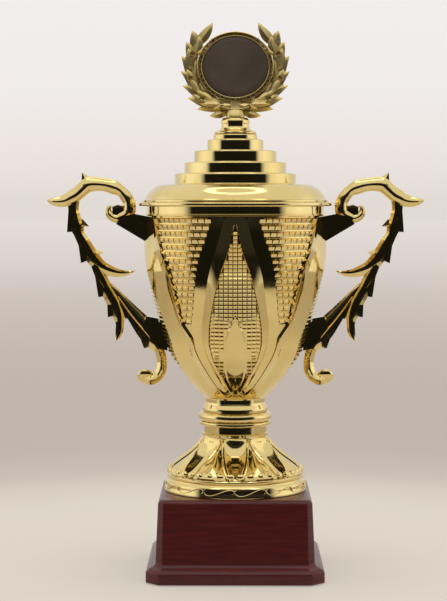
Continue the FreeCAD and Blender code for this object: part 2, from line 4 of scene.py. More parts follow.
import bmesh
import bpy
from bpy.props import FloatProperty, FloatVectorProperty, IntProperty, PointerProperty
from mathutils import Matrix, Vector


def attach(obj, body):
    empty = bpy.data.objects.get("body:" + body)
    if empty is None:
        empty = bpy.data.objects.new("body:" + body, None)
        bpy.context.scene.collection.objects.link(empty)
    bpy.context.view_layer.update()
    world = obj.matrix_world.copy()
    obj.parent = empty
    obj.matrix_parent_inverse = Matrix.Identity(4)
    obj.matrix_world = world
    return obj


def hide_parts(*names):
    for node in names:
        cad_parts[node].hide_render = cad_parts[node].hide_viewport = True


bl_info = {
    "name": "Lidded presentation cup",
    "version": (1, 0, 0),
    "blender": (4, 5, 0),
    "location": "3D View > Sidebar > Cup",
    "description": "Models the cup's moulded pieces and its studio",
    "category": "Object",
}

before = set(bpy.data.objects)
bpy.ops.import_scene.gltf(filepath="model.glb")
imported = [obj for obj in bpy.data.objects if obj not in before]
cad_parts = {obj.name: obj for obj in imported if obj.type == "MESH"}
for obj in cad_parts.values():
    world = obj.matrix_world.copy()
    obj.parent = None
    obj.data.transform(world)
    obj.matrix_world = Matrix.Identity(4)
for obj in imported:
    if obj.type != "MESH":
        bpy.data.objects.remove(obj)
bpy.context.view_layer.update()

MM = 0.001


def linear(code):
    """Linear colour for an sRGB hex value."""
    parts = [int(code[i:i + 2], 16) / 255 for i in (1, 3, 5)]
    lit = [p / 12.92 if p <= 0.04045 else ((p + 0.055) / 1.055) ** 2.4 for p in parts]
    return (*lit, 1.0)


# ---------------------------------------------------------------- numbers and curves

def along(table, key):
    """Value at a key of a table of (key, value) rows, straight between them."""
    rows = sorted(table)
    if key <= rows[0][0]:
        return rows[0][1]
    for (low, first), (high, last) in zip(rows, rows[1:]):
        if key <= high:
            return first + (last - first) * (key - low) / (high - low)
    return rows[-1][1]


def ease(low, high, value):
    """0 below low, 1 above high, smooth between."""
    share = min(1.0, max(0.0, (value - low) / (high - low)))
    return share * share * (3 - 2 * share)


def flow(knots, key):
    """Value on the smooth line through knots of (key, value); a value is a number or a Vector."""
    slopes = []
    for i in range(len(knots)):
        low = knots[max(i - 1, 0)]
        high = knots[min(i + 1, len(knots) - 1)]
        slopes.append((high[1] - low[1]) / (high[0] - low[0]))
    place = len(knots) - 2
    for i in range(len(knots) - 1):
        if key <= knots[i + 1][0]:
            place = i
            break
    start, end = knots[place], knots[place + 1]
    span = end[0] - start[0]
    t = (key - start[0]) / span
    bend = (
        (2 * t**3 - 3 * t**2 + 1) * start[1] + (t**3 - 2 * t**2 + t) * span * slopes[place]
        + (3 * t**2 - 2 * t**3) * end[1] + (t**3 - t**2) * span * slopes[place + 1]
    )
    return bend


def on_circle(radius, degrees, height):
    """Point at an angle measured round the axis from the front."""
    turn = math.radians(degrees)
    return Vector((radius * math.sin(turn), -radius * math.cos(turn), height))


# ---------------------------------------------------------------- mesh helpers

def spin_profile(bm, corners, steps, tags=None):
    """Turns a closed profile of (radius, height) about the cup's axis; tags mark rows to carve."""
    mark = bm.verts.layers.int.get("carved") or bm.verts.layers.int.new("carved")
    verts = []
    for place, (radius, height) in enumerate(corners):
        vert = bm.verts.new((0, -radius, height))
        vert[mark] = 1 if tags and tags[place] else 0
        verts.append(vert)
    edges = [bm.edges.new((verts[i - 1], verts[i])) for i in range(len(verts))]
    bmesh.ops.spin(
        bm, geom=verts + edges, cent=(0, 0, 0), axis=(0, 0, 1), angle=2 * math.pi,
        steps=steps, use_merge=True, use_duplicate=False,
    )


def rounded(corners, arc_steps=5):
    """Profile of (radius, height) whose corners with a third value are rounded to that radius.

    A point just outside each arc keeps the straight sides flat in their shading."""
    profile = []
    for place, corner in enumerate(corners):
        spot = Vector(corner[:2])
        if len(corner) < 3:
            profile.append(tuple(spot))
            continue
        back = (Vector(corners[place - 1][:2]) - spot).normalized()
        on = (Vector(corners[(place + 1) % len(corners)][:2]) - spot).normalized()
        half = back.angle(on) / 2
        reach = corner[2] / math.tan(half)
        centre = spot + (back + on).normalized() * corner[2] / math.sin(half)
        first, last = spot + back * reach - centre, spot + on * reach - centre
        swing = math.pi - 2 * half
        profile.append(tuple(spot + back * reach * 1.12))
        for step in range(arc_steps + 1):
            share = step / arc_steps
            point = first * math.sin((1 - share) * swing) + last * math.sin(share * swing)
            profile.append(tuple(centre + point / math.sin(swing)))
        profile.append(tuple(spot + on * reach * 1.12))
    return profile


def carve(bm, columns, repeats, start, angle_and_lift):
    """Moves the tagged rows so that their columns follow a pattern mirrored about each repeat.

    A repeat has 2 * columns steps; angle_and_lift(column, height) gives degrees from its middle and
    how far the wall stands off its profile."""
    mark = bm.verts.layers.int["carved"]
    step = 360 / (2 * columns * repeats)
    for vert in bm.verts:
        if not vert[mark]:
            continue
        degrees = math.degrees(math.atan2(vert.co.x, -vert.co.y))
        place = round(degrees / step) % (2 * columns * repeats)
        middle = (place + columns) // (2 * columns)
        column = place - 2 * columns * middle
        angle, lift = angle_and_lift(abs(column), vert.co.z)
        turn = middle * 360 / repeats + math.copysign(angle, column) + start
        radius = math.hypot(vert.co.x, vert.co.y)
        vert.co = on_circle(radius + lift, turn, vert.co.z)


def soften(bm, width, segments=2, sharper=25.0, edges=None):
    """Bevels the edges of a mesh that turn by more than an angle."""
    limit = math.radians(sharper)
    chosen = edges if edges is not None else bm.edges
    turned = [e for e in chosen if len(e.link_faces) == 2 and e.calc_face_angle(0) > limit]
    bmesh.ops.bevel(
        bm, geom=turned, offset=width, offset_type="OFFSET", segments=segments, profile=0.5,
        affect="EDGES", material=-1, clamp_overlap=True,
    )


def strand(bm, shapes, section):
    """Draws a closed tube whose section, a list of flat points, stands at each matrix in turn."""
    ring = bmesh.ops.create_circle(bm, cap_ends=True, segments=len(section), radius=1.0)["verts"]
    for vert, (across, deep) in zip(ring, section):
        vert.co = shapes[0] @ Vector((across, deep, 0))
    for last, shape in zip(shapes, shapes[1:]):
        made = bmesh.ops.extrude_edge_only(bm, edges=loop_edges(ring))
        ring = [v for v in made["geom"] if isinstance(v, bmesh.types.BMVert)]
        bmesh.ops.transform(bm, matrix=shape @ last.inverted(), verts=ring)
    bmesh.ops.contextual_create(bm, geom=loop_edges(ring))


def circle_points(sides):
    """Points of a unit circle in the order in which create_circle makes them."""
    turns = [i * 2 * math.pi / sides for i in range(sides)]
    return [(-math.sin(turn), math.cos(turn)) for turn in turns]


def sweep(bm, stations, power=1.0, per_span=4, sides=12, lean=0.0):
    """Draws a strand through stations of (x, y, z, half width, half depth), its depth along Y.

    A power of 1 gives a ridged, lens-like section, 2 an oval and more a block. A lean moves the
    ridge off the middle, so that one flank is broad and flat and the other steep."""
    knots, length = [], 0.0
    for place, station in enumerate(stations):
        if place:
            length += (Vector(station[:3]) - Vector(stations[place - 1][:3])).length
        knots.append((length, Vector(station[:3]), station[3], station[4]))
    keys = []
    for low, high in zip(knots, knots[1:]):
        keys += [low[0] + (high[0] - low[0]) * i / per_span for i in range(per_span)]
    keys.append(knots[-1][0])
    centres = [(k[0], k[1]) for k in knots]
    widths = [(k[0], k[2]) for k in knots]
    depths = [(k[0], k[3]) for k in knots]
    shapes = []
    for key in keys:
        centre = flow(centres, key)
        ahead = flow(centres, min(key + 0.05, length)) - flow(centres, max(key - 0.05, 0.0))
        ahead.y = 0
        ahead.normalize()
        across = Vector((ahead.z, 0, -ahead.x))
        wide = max(flow(widths, key), 0.08)
        deep = max(flow(depths, key), 0.08)
        shapes.append(Matrix((
            (across.x * wide, 0, ahead.x, centre.x), (0, deep, 0, centre.y),
            (across.z * wide, 0, ahead.z, centre.z), (0, 0, 0, 1),
        )))
    section = []
    for side, high in circle_points(sides):
        share = min(1.0, abs((side - lean) / (1 + math.copysign(lean, lean - side))))
        section.append((side, math.copysign((1 - share**power) ** (1 / power), high)))
    strand(bm, shapes, section)


def loop_edges(ring):
    """Edges that join the verts of a ring."""
    chosen = set(ring)
    found = {e for v in ring for e in v.link_edges if e.other_vert(v) in chosen}
    return list(found)


def barb(bm, upper, tip, lower, root, depth=1.9):
    """Draws a flat thorn whose three corners lie on the stem, at its point and on the stem again.

    The root is the place in the stem where its front and back ridges start; all are (x, z)."""
    rim = [bm.verts.new((x, 0.0, z)) for x, z in (upper, tip, lower)]
    peaks = [bm.verts.new((root[0], side * depth, root[1])) for side in (-1, 1)]
    for peak in peaks:
        for first, last in zip(rim, rim[1:] + rim[:1]):
            bm.faces.new((first, last, peak))


def leaf(bm, root, tip, half_width, front, bow=0.0, depth=1.4):
    """Draws a leaf with a raised midrib and two flat flanks; front is the Y of its middle."""
    start, end = Vector((root[0], front, root[1])), Vector((tip[0], front, tip[1]))
    way = end - start
    side = Vector((way.z, 0, -way.x)) * bow
    rows = [(0.0, 0.35), (0.2, 0.85), (0.42, 1.0), (0.7, 0.72), (0.88, 0.36), (1.0, 0.02)]
    stations = []
    for share, width in rows:
        spot = start + way * share + side * math.sin(share * math.pi)
        stations.append((*spot, half_width * width, depth * (0.45 + 0.55 * width)))
    sweep(bm, stations, power=1.0, per_span=3, sides=8)


def finish_piece(bm, name, material, body, nodes, crease=30.0):
    """Turns a mesh drawn in millimetres into a piece that stands for CAD nodes."""
    bmesh.ops.remove_doubles(bm, verts=bm.verts, dist=1e-4)
    bmesh.ops.recalc_face_normals(bm, faces=bm.faces)
    bmesh.ops.scale(bm, vec=(MM, MM, MM), verts=bm.verts)
    mesh = bpy.data.meshes.new(name)
    bm.to_mesh(mesh)
    bm.free()
    if not mesh.polygons:
        raise RuntimeError(name + " came out with no faces")
    mesh.materials.append(material)
    mesh.shade_smooth()
    mesh.set_sharp_from_angle(angle=math.radians(crease))
    piece = bpy.data.objects.new(name, mesh)
    bpy.context.scene.collection.objects.link(piece)
    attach(piece, body)
    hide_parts(*nodes)
    return piece


# ---------------------------------------------------------------- materials

def add_node(tree, kind, inputs=None, **settings):
    """Adds a node with its settings; an input's value is a constant or another node's output."""
    node = tree.nodes.new(kind)
    for key, value in settings.items():
        setattr(node, key, value)
    for key, value in (inputs or {}).items():
        if isinstance(value, bpy.types.NodeSocket):
            tree.links.new(value, node.inputs[key])
        else:
            node.inputs[key].default_value = value
    return node


def ramp_stops(node, stops):
    """Sets a colour ramp's stops from (position, colour)."""
    elements = node.color_ramp.elements
    while len(elements) > len(stops):
        elements.remove(elements[-1])
    for place, (position, colour) in enumerate(stops):
        if place < len(elements):
            elements[place].position = position
        else:
            elements.new(position)
        elements[place].color = colour


def new_material(name):
    """Makes an empty node material, or clears the one with that name."""
    material = bpy.data.materials.get(name) or bpy.data.materials.new(name)
    material.use_nodes = True
    material.node_tree.nodes.clear()
    return material, material.node_tree


def close_material(tree, shader):
    """Links a shader to the material's output."""
    add_node(tree, "ShaderNodeOutputMaterial", {"Surface": shader.outputs[0]})


def grain_colour(tree, spot, noise, low, high):
    """Colour that a noise of the given settings mixes between two stops of (position, colour)."""
    grain = add_node(tree, "ShaderNodeTexNoise", {"Vector": spot, **noise})
    tint = add_node(tree, "ShaderNodeValToRGB", {"Fac": grain.outputs["Fac"]})
    ramp_stops(tint, [low, high])
    return tint.outputs["Color"], grain.outputs["Fac"]


def relief(tree, height, strength, depth):
    """Normal that follows a height with its depth in metres."""
    bump = add_node(tree, "ShaderNodeBump", {
        "Height": height, "Strength": strength, "Distance": depth,
    })
    return bump.outputs["Normal"]


def noise_height(tree, spot, scale, detail):
    """Plain noise for a relief."""
    noise = {"Vector": spot, "Scale": scale, "Detail": detail}
    return add_node(tree, "ShaderNodeTexNoise", noise).outputs["Fac"]


def metallised_gold(colours, name="metallised_abs_pale_gold", haze_low=0.05, haze_high=0.11):
    """Vacuum-metallised and lacquered ABS: a mirror with the faint waviness of a moulding."""
    material, tree = new_material(name)
    spot = add_node(tree, "ShaderNodeTexCoord").outputs["Object"]
    tint, _ = grain_colour(
        tree, spot, {"Scale": 45.0, "Detail": 2.0}, (0.3, (*colours.gold_deep, 1.0)),
        (0.7, (*colours.gold_light, 1.0)),
    )
    rough = add_node(tree, "ShaderNodeMapRange", {
        "Value": noise_height(tree, spot, 160.0, 4.0), "From Min": 0.3, "From Max": 0.7,
        "To Min": haze_low, "To Max": haze_high,
    })
    # Sink over ribs and bosses leaves waves about 14 mm long and a few microns deep.
    waves = relief(tree, noise_height(tree, spot, 70.0, 1.0), 0.25, 0.0003)
    shader = add_node(tree, "ShaderNodeBsdfPrincipled", {
        "Base Color": tint, "Roughness": rough.outputs["Result"], "Metallic": 1.0,
        "Normal": waves,
    })
    close_material(tree, shader)
    return material


def lacquered_rosewood(colours):
    """Polystyrene in a rosewood colour under clear lacquer: deep red-brown, faint level grain."""
    material, tree = new_material("lacquered_polystyrene_rosewood")
    spot = add_node(tree, "ShaderNodeTexCoord").outputs["Object"]
    stretch = add_node(tree, "ShaderNodeMapping", {"Vector": spot, "Scale": (1.0, 1.0, 9.0)})
    # Grain streaks are about 2 mm high and run level round the block.
    tint, _ = grain_colour(
        tree, stretch.outputs["Vector"],
        {"Scale": 40.0, "Detail": 4.0, "Roughness": 0.5, "Distortion": 0.3},
        (0.35, (*colours.plinth_deep, 1.0)), (0.68, (*colours.plinth_light, 1.0)),
    )
    waves = relief(tree, noise_height(tree, spot, 30.0, 2.0), 0.2, 0.0003)
    shader = add_node(tree, "ShaderNodeBsdfPrincipled", {
        "Base Color": tint, "Roughness": 0.3, "IOR": 1.3, "Coat Weight": 0.15,
        "Coat Roughness": 0.03, "Normal": waves, "Coat Normal": waves,
    })
    close_material(tree, shader)
    return material


def satin_disc(colours):
    """Satin dark-brown coated card: an even face with a fine tooth."""
    material, tree = new_material("satin_coated_card_dark_brown")
    spot = add_node(tree, "ShaderNodeTexCoord").outputs["Object"]
    tint, _ = grain_colour(
        tree, spot, {"Scale": 35.0, "Detail": 3.0}, (0.3, (*colours.disc_deep, 1.0)),
        (0.7, (*colours.disc_light, 1.0)),
    )
    # The tooth of the coating is drawn at 0.4 mm, coarser than life, so that it shows.
    tooth = relief(tree, noise_height(tree, spot, 2500.0, 2.0), 0.3, 0.00005)
    shader = add_node(tree, "ShaderNodeBsdfPrincipled", {
        "Base Color": tint, "Roughness": 0.5, "IOR": 1.5, "Normal": tooth,
    })
    close_material(tree, shader)
    return material


def speckled(name, deep, light, grain_mm, roughness, metallic=0.0, depth_mm=0.05):
    """A finish with a grain of a real size between two colours, used for the inner parts."""
    material, tree = new_material(name)
    spot = add_node(tree, "ShaderNodeTexCoord").outputs["Object"]
    noise = {"Scale": 1 / (grain_mm * MM), "Detail": 4.0}
    tint, grain = grain_colour(tree, spot, noise, (0.35, linear(deep)), (0.65, linear(light)))
    shader = add_node(tree, "ShaderNodeBsdfPrincipled", {
        "Base Color": tint, "Roughness": roughness, "Metallic": metallic,
        "Normal": relief(tree, grain, 0.5, depth_mm * MM),
    })
    close_material(tree, shader)
    return material


# ---------------------------------------------------------------- settings

def colour_setting(name, description, code):
    """A colour property with an sRGB hex default."""
    return FloatVectorProperty(
        name=name, description=description, default=linear(code)[:3], subtype="COLOR", size=3,
        min=0.0, max=1.0,
    )


def length_setting(name, description, millimetres):
    """A length property with a default in millimetres."""
    return FloatProperty(
        name=name, description=description, default=millimetres * MM, unit="LENGTH", precision=4,
    )


class TrophyColours(bpy.types.PropertyGroup):
    """Colours of the trophy's finishes."""

    gold_light: colour_setting("Gold, light", "Lighter tone of the metallised gold", "#EBD594")
    gold_deep: colour_setting("Gold, deep", "Deeper tone of the metallised gold", "#E3C983")
    plinth_light: colour_setting("Plinth, light", "Lighter grain of the plinth", "#5C2220")
    plinth_deep: colour_setting("Plinth, deep", "Darker grain of the plinth", "#4A1B1A")
    disc_light: colour_setting("Disc, light", "Lighter tone of the medallion disc", "#75685B")
    disc_deep: colour_setting("Disc, deep", "Darker tone of the medallion disc", "#625549")


class TrophySizes(bpy.types.PropertyGroup):
    """Sizes of the moulded relief."""

    fine_pitch: length_setting("Fine stud pitch", "Distance between fine studs in a row", 3.4)
    fine_row: length_setting("Fine row pitch", "Distance between rows of fine studs", 2.93)
    coarse_pitch: length_setting("Coarse stud pitch", "Distance between coarse studs", 5.2)
    coarse_row: length_setting("Coarse row pitch", "Distance between rows of coarse studs", 4.87)
    petal_lift: length_setting("Petal lift", "How far the foot's petals stand out", 1.3)
    waves: IntProperty(
        name="Scroll waves", description="Waves of the wire round the foot", default=14, min=4,
        max=40,
    )


# ---------------------------------------------------------------- plinth

PLINTH_STEPS = [
    (64.4, 9.5, 0.6), (64.4, 9.5, 8.5), (62.0, 8.8, 10.9), (59.2, 6.6, 12.0), (57.5, 5.0, 14.0),
    (55.5, 4.0, 58.0), (53.4, 3.2, 60.2),
]


# The hollow's ceiling and its mouth, as (half width, cut, height).
PLINTH_HOLLOW = [(51.0, 3.2, 57.7), (55.0, 5.0, 0.6)]


def octagon_ring(bm, half, cut, height):
    """A closed ring of edges: a square with cut corners."""
    near = half - cut
    spots = [
        (near, -half), (half, -near), (half, near), (near, half), (-near, half), (-half, near),
        (-half, -near), (-near, -half),
    ]
    verts = [bm.verts.new((x, y, height)) for x, y in spots]
    return [bm.edges.new((verts[i - 1], verts[i])) for i in range(len(verts))]


class TROPHY_OT_plinth(bpy.types.Operator):
    """Model the stepped plinth, a shell with cut corners and a rounded crown"""

    bl_idname = "trophy.plinth"
    bl_label = "Plinth"

    def execute(self, context):
        bm = bmesh.new()
        outside = [octagon_ring(bm, *step) for step in PLINTH_STEPS]
        hollow = [octagon_ring(bm, *step) for step in PLINTH_HOLLOW]
        pairs = list(zip(outside, outside[1:])) + [tuple(hollow), (hollow[1], outside[0])]
        for low, high in pairs:
            bmesh.ops.bridge_loops(bm, edges=low + high)
        for rim in (outside[-1], hollow[0]):
            bmesh.ops.contextual_create(bm, geom=rim)
        bmesh.ops.recalc_face_normals(bm, faces=bm.faces)
        corners = {v for ring in outside for e in ring for v in e.verts}
        soften(bm, 0.7, 3, 4.0, list({e for v in corners for e in v.link_edges}))
        finish_piece(
            bm, "plinth_shell", lacquered_rosewood(context.scene.trophy_colours), "cup",
            ["base_shell"], crease=40.0,
        )
        return {"FINISHED"}


# ---------------------------------------------------------------- foot

PETAL_EDGE = [(73.0, 20.6), (78.0, 17.4), (84.0, 13.6), (90.0, 9.4), (97.0, 5.0), (100.0, 4.2)]
PETAL_GROOVE = [(73.0, 16.2), (78.0, 12.8), (84.0, 8.8), (90.0, 4.8), (96.0, 0.9), (100.0, 0.5)]
# How far the field between the petals sinks, by height.
FIELD_SINK = [
    (73.0, 0.2), (75.0, 1.4), (77.0, 3.2), (80.0, 5.6), (84.0, 6.8), (88.0, 6.0), (92.0, 3.9),
    (96.0, 1.8), (99.5, 0.0),
]
FOOT_COLUMNS = [
    ("middle", 0.0, 1.0), ("leaf", 0.35, 0.8), ("leaf", 0.7, 0.5), ("leaf", 0.95, 0.3),
    ("groove", 0.0, -0.35), ("strip", 0.2, 0.95), ("strip", 0.55, 1.15), ("strip", 0.85, 0.8),
    ("strip", 1.0, 0.0), ("field", 0.22, -0.6), ("field", 0.5, -1.0), ("field", 0.75, -1.0),
    ("field", 1.0, -1.0),
]
WAVE = [
    (0.05, 0.95), (-0.02, 0.55), (0.015, -0.2), (0.09, -0.82), (0.22, -0.98), (0.4, -0.5),
    (0.58, 0.25), (0.76, 0.88), (0.9, 0.92), (0.985, 0.35), (0.95, -0.2), (0.91, -0.42),
]


# Radius of the bell by the share of its height, and the heights of its ends.
BELL_SIDE = [
    (0.0, 50.0), (0.07, 49.4), (0.14, 47.9), (0.34, 41.8), (0.56, 34.3), (0.78, 28.2),
    (1.0, 24.6),
]
BELL_ROWS = 26
BELL_LOW = 73.4
BELL_HIGH = 100.0
PETALS = 8
SCALLOPS = 40
SCALLOP_SIZE = (3.5, 2.1, 2.8, 1.0)


def foot_column(lift):
    """Gives the petal pattern's angle and height for a column of the foot."""
    def place(column, height):
        edge, groove = along(PETAL_EDGE, height), along(PETAL_GROOVE, height)
        bounds = {
            "middle": (0.0, 0.0), "leaf": (0.0, groove), "groove": (groove, groove),
            "strip": (groove, edge), "field": (edge, 22.5),
        }
        zone, share, rise = FOOT_COLUMNS[column]
        low, high = bounds[zone]
        fade = ease(72.9, 74.5, height) * (1 - ease(97.5, 100.0, height))
        if zone == "field":
            return low + (high - low) * share, rise * along(FIELD_SINK, height)
        return low + (high - low) * share, rise * lift * fade
    return place


def scroll_wire(bm, waves, radius, middle, swing):
    """Draws the running scroll round the foot, one hooked wave after another."""
    for wave in range(waves):
        knots = [(i, Vector((share, height, 0))) for i, (share, height) in enumerate(WAVE)]
        shapes = []
        for i in range(3 * (len(WAVE) - 1) + 1):
            key = i / 3
            spot = flow(knots, key)
            ahead = flow(knots, min(key + 0.1, len(WAVE) - 1)) - flow(knots, max(key - 0.1, 0))
            period = 360 / waves
            centre = on_circle(radius, (spot.x + wave) * period, middle + spot.y * swing)
            level = on_circle(1.0, (spot.x + wave) * period + 90, 0)
            arc = ahead.x * math.radians(period) * radius
            way = (level * arc + Vector((0, 0, ahead.y * swing))).normalized()
            out = on_circle(1.0, (spot.x + wave) * period, 0)
            side = way.cross(out)
            thick = 0.36 * min(1.0, 0.35 + 0.5 * min(key, len(WAVE) - 1 - key))
            shapes.append(Matrix((
                (side.x * thick, out.x * thick, way.x, centre.x),
                (side.y * thick, out.y * thick, way.y, centre.y),
                (side.z * thick, out.z * thick, way.z, centre.z), (0, 0, 0, 1),
            )))
        strand(bm, shapes, circle_points(6))


class TROPHY_OT_foot(bpy.types.Operator):
    """Model the bell-shaped foot with its petals, bead row and scroll wire"""

    bl_idname = "trophy.foot"
    bl_label = "Foot"

    def execute(self, context):
        sizes = context.scene.trophy_sizes
        bm = bmesh.new()
        outside = [
            (51.9, 60.2), (52.7, 60.7), (52.75, 61.6), (52.5, 62.6), (52.2, 64.0), (52.1, 65.5),
            (52.1, 66.8), (51.8, 67.6), (50.9, 68.4), (50.2, 69.3), (50.0, 69.9), (50.25, 70.3),
            (50.7, 70.9), (50.85, 71.6), (50.75, 72.3), (50.2, 72.9),
        ]
        bell = [
            (flow(BELL_SIDE, i / BELL_ROWS), BELL_LOW + (BELL_HIGH - BELL_LOW) * i / BELL_ROWS)
            for i in range(BELL_ROWS + 1)
        ]
        neck = [(24.5, 101.4), (24.6, 102.8), (23.4, 103.4), (23.4, 108.8)]
        inside = [
            (21.2, 108.8), (21.4, 97.0), (22.4, 90.0), (23.0, 82.0), (29.0, 76.0), (38.0, 72.0),
            (47.0, 69.5), (49.4, 60.2),
        ]
        corners = outside + bell + neck + inside
        tags = [False] * len(outside) + [True] * len(bell) + [False] * (len(neck) + len(inside))
        columns = len(FOOT_COLUMNS) - 1
        spin_profile(bm, corners, 2 * columns * PETALS, tags)
        carve(bm, columns, PETALS, 180 / PETALS, foot_column(sizes.petal_lift / MM))
        for i in range(SCALLOPS):
            degrees = (i + 0.5) * 360 / SCALLOPS
            turn = Matrix.Rotation(math.radians(degrees), 4, "Z")
            spot = Matrix.Translation(on_circle(48.6, degrees, 75.6))
            bmesh.ops.create_icosphere(
                bm, subdivisions=2, radius=1.0, matrix=spot @ turn @ Matrix.Diagonal(SCALLOP_SIZE),
            )
        scroll_wire(bm, sizes.waves, 52.35, 64.9, 2.35)
        finish_piece(
            bm, "foot_moulding", metallised_gold(context.scene.trophy_colours), "cup",
            ["foot_bell"], crease=24.0,
        )
        return {"FINISHED"}


# ---------------------------------------------------------------- stem

class TROPHY_OT_stem(bpy.types.Operator):
    """Model the flat ring and the round bead between the foot and the bowl"""

    bl_idname = "trophy.stem"
    bl_label = "Stem ring and bead"

    def execute(self, context):
        gold = metallised_gold(context.scene.trophy_colours)
        ring = bmesh.new()
        spin_profile(ring, [
            (23.0, 108.8), (25.9, 108.8), (26.5, 109.4), (26.5, 111.2), (25.9, 111.8),
            (23.0, 111.8),
        ], 128)
        soften(ring, 0.25)
        finish_piece(ring, "stem_ring_moulding", gold, "cup", ["stem_ring"])
        bead = bmesh.new()
        round_side = [
            (25.3 + 1.75 * math.cos(a), 115.15 + 3.1 * math.sin(a))
            for a in (math.radians(-80 + 16 * i) for i in range(11))
        ]
        spin_profile(
            bead, [(22.0, 111.8), (24.6, 111.8)] + round_side + [(24.6, 118.5), (22.0, 118.5)], 128,
        )
        finish_piece(bead, "stem_bead_moulding", gold, "cup", ["stem_bead"])
        return {"FINISHED"}


# ---------------------------------------------------------------- bowl

BOWL_SIDE = [
    (129.8, 23.3), (134.6, 28.3), (145.2, 38.1), (153.5, 44.4), (162.7, 50.4), (181.0, 56.7),
    (199.2, 61.4), (219.3, 66.2), (229.0, 67.5), (240.0, 68.0), (252.0, 67.4), (264.0, 65.8),
]
# Edges of the pattern in degrees from the front, by height.
PANEL_EDGE = [
    (127, 0.25), (134, 7), (142, 13), (150, 16.5), (160, 19.5), (171.5, 21), (183, 19.5),
    (196.5, 16.5), (210, 12.9), (220.5, 10.4), (235, 5.5), (241.5, 3.6), (252, 1.9), (260, 0.3),
    (264, 0.25),
]
BAND_EDGE = [
    (131, 16), (137, 22.6), (147, 27), (156, 29.9), (168, 32.9), (177, 33), (187, 32.5),
    (195, 30), (207, 27.6), (220, 25), (231, 23), (236, 21.8), (246, 18.5), (264, 13.8),
]
FIELD_EDGE = [
    (131, 16.3), (137, 22.9), (147, 27.3), (156, 30.2), (168, 33.2), (177, 36.5), (185.6, 42.2),
    (195, 43), (206, 43.5), (220, 45.4), (231, 48.7), (236, 52), (246, 55.8), (256, 60.6),
    (264, 65.5),
]
BOWL_COLUMNS = [
    ("panel", 0.0, 0.0, "floor"), ("panel", 0.34, 0.0, "floor"), ("panel", 0.67, 0.0, "floor"),
    ("panel", 1.0, -0.6, "floor"), ("panel", 1.0, 0.0, "edge"), ("inner", 0.33, 0.0, "flank"),
    ("inner", 0.67, 0.0, "flank"), ("inner", 1.0, 0.0, "valley"), ("outer", 0.33, 0.0, "flank"),
    ("outer", 0.67, 0.0, "flank"), ("outer", 1.0, 0.0, "lip"), ("field", 0.0, 0.5, "floor"),
    ("field", 0.12, 0.4, "floor"), ("field", 0.24, 0.3, "floor"), ("field", 0.36, 0.2, "floor"),
    ("field", 0.5, 0.0, "floor"), ("field", 0.64, -0.2, "floor"), ("field", 0.76, -0.3, "floor"),
    ("field", 0.88, -0.4, "floor"), ("field", 1.0, -0.5, "floor"), ("near", 0.0, 0.0, "lip"),
    ("near", 0.5, 0.0, "flank"), ("near", 1.0, 0.0, "valley"), ("far", 0.35, 0.0, "flank"),
    ("far", 0.7, 0.0, "flank"), ("far", 1.0, 0.0, "edge"), ("side", 0.0, 0.6, "floor"),
    ("side", 0.25, 0.3, "floor"), ("side", 0.5, 0.1, "floor"), ("side", 0.75, 0.0, "floor"),
    ("side", 1.0, 0.0, "floor"),
]
# How far the pattern's levels lie below the bowl's greatest outline.
VALLEY_DROP = 2.9
EDGE_DROP = 0.5
FLOOR_DROP = 1.8


def bowl_radius(height):
    """Radius of the bowl's outside above its neck."""
    return flow(BOWL_SIDE, height)


def bowl_zones(height):
    """First and last angle of each zone from the front to the side, at a height."""
    panel, band = along(PANEL_EDGE, height), along(BAND_EDGE, height)
    field = max(along(FIELD_EDGE, height), band + 1.2)
    side = 90 - 1.4 * panel
    near = field + 0.3 * (side - field)
    ridge = 0.5 * (panel + band)
    return {
        "panel": (0.0, panel), "inner": (panel, ridge), "outer": (ridge, band),
        "field": (band, field), "near": (field, near), "far": (near, side), "side": (side, 90.0),
    }


def bowl_column(column, height):
    """Gives the bowl pattern's angle and height for a column."""
    zone, share, nudge, level = BOWL_COLUMNS[column]
    zones = bowl_zones(height)
    low, high = zones[zone]
    width = high - low
    angle = low + width * share
    if nudge:
        angle += nudge * min(1.0, 0.4 * width)
    fade = ease(129.8, 145.0, height)
    ends = {
        "inner": (EDGE_DROP, VALLEY_DROP), "outer": (VALLEY_DROP, 0.0), "near": (0.0, VALLEY_DROP),
        "far": (VALLEY_DROP, EDGE_DROP),
    }
    if level == "lip":
        drop = 0.0
    elif level == "edge":
        drop = EDGE_DROP
    elif level == "valley":
        drop = VALLEY_DROP
    elif level == "flank":
        first, last = ends[zone]
        drop = first + (last - first) * share
    else:
        shut = EDGE_DROP if zone in ("panel", "side") else 0.9
        drop = shut + (FLOOR_DROP - shut) * ease(0.4, 2.4, width)
    return angle, -drop * fade


def stud(bm, degrees, height, lift, sizes):
    """Sets a small roof on the bowl, its level ridge above the middle so its lower side is broad.

    Its sizes are the base's width and height, and the depth."""
    wide, high, deep = sizes
    slope = bowl_radius(height + 0.5) - bowl_radius(height - 0.5)
    spot = on_circle(bowl_radius(height) + lift, degrees, height)
    turn = Matrix.Rotation(math.radians(degrees), 4, "Z")
    tilt = Matrix.Rotation(math.pi / 2 + math.atan2(slope, 1.0), 4, "X")
    place = Matrix.Translation(spot) @ turn @ tilt
    size = Matrix.Diagonal((wide, high, deep, 1.0))
    made = bmesh.ops.create_cube(bm, size=1.0, matrix=place @ size)
    back = place.inverted()
    top = [v for v in made["verts"] if (back @ v.co).z > 0]
    bmesh.ops.scale(bm, vec=(0.86, 0.05, 1.0), space=back, verts=top)
    bmesh.ops.translate(bm, vec=(0, 0.17 * high, 0), space=back, verts=top)


LENS = [
    (131.5, 0.4), (137.0, 3.0), (145.0, 6.2), (155.0, 8.5), (165.0, 9.2), (174.0, 8.0),
    (182.0, 5.4), (188.0, 2.8), (192.5, 0.4),
]


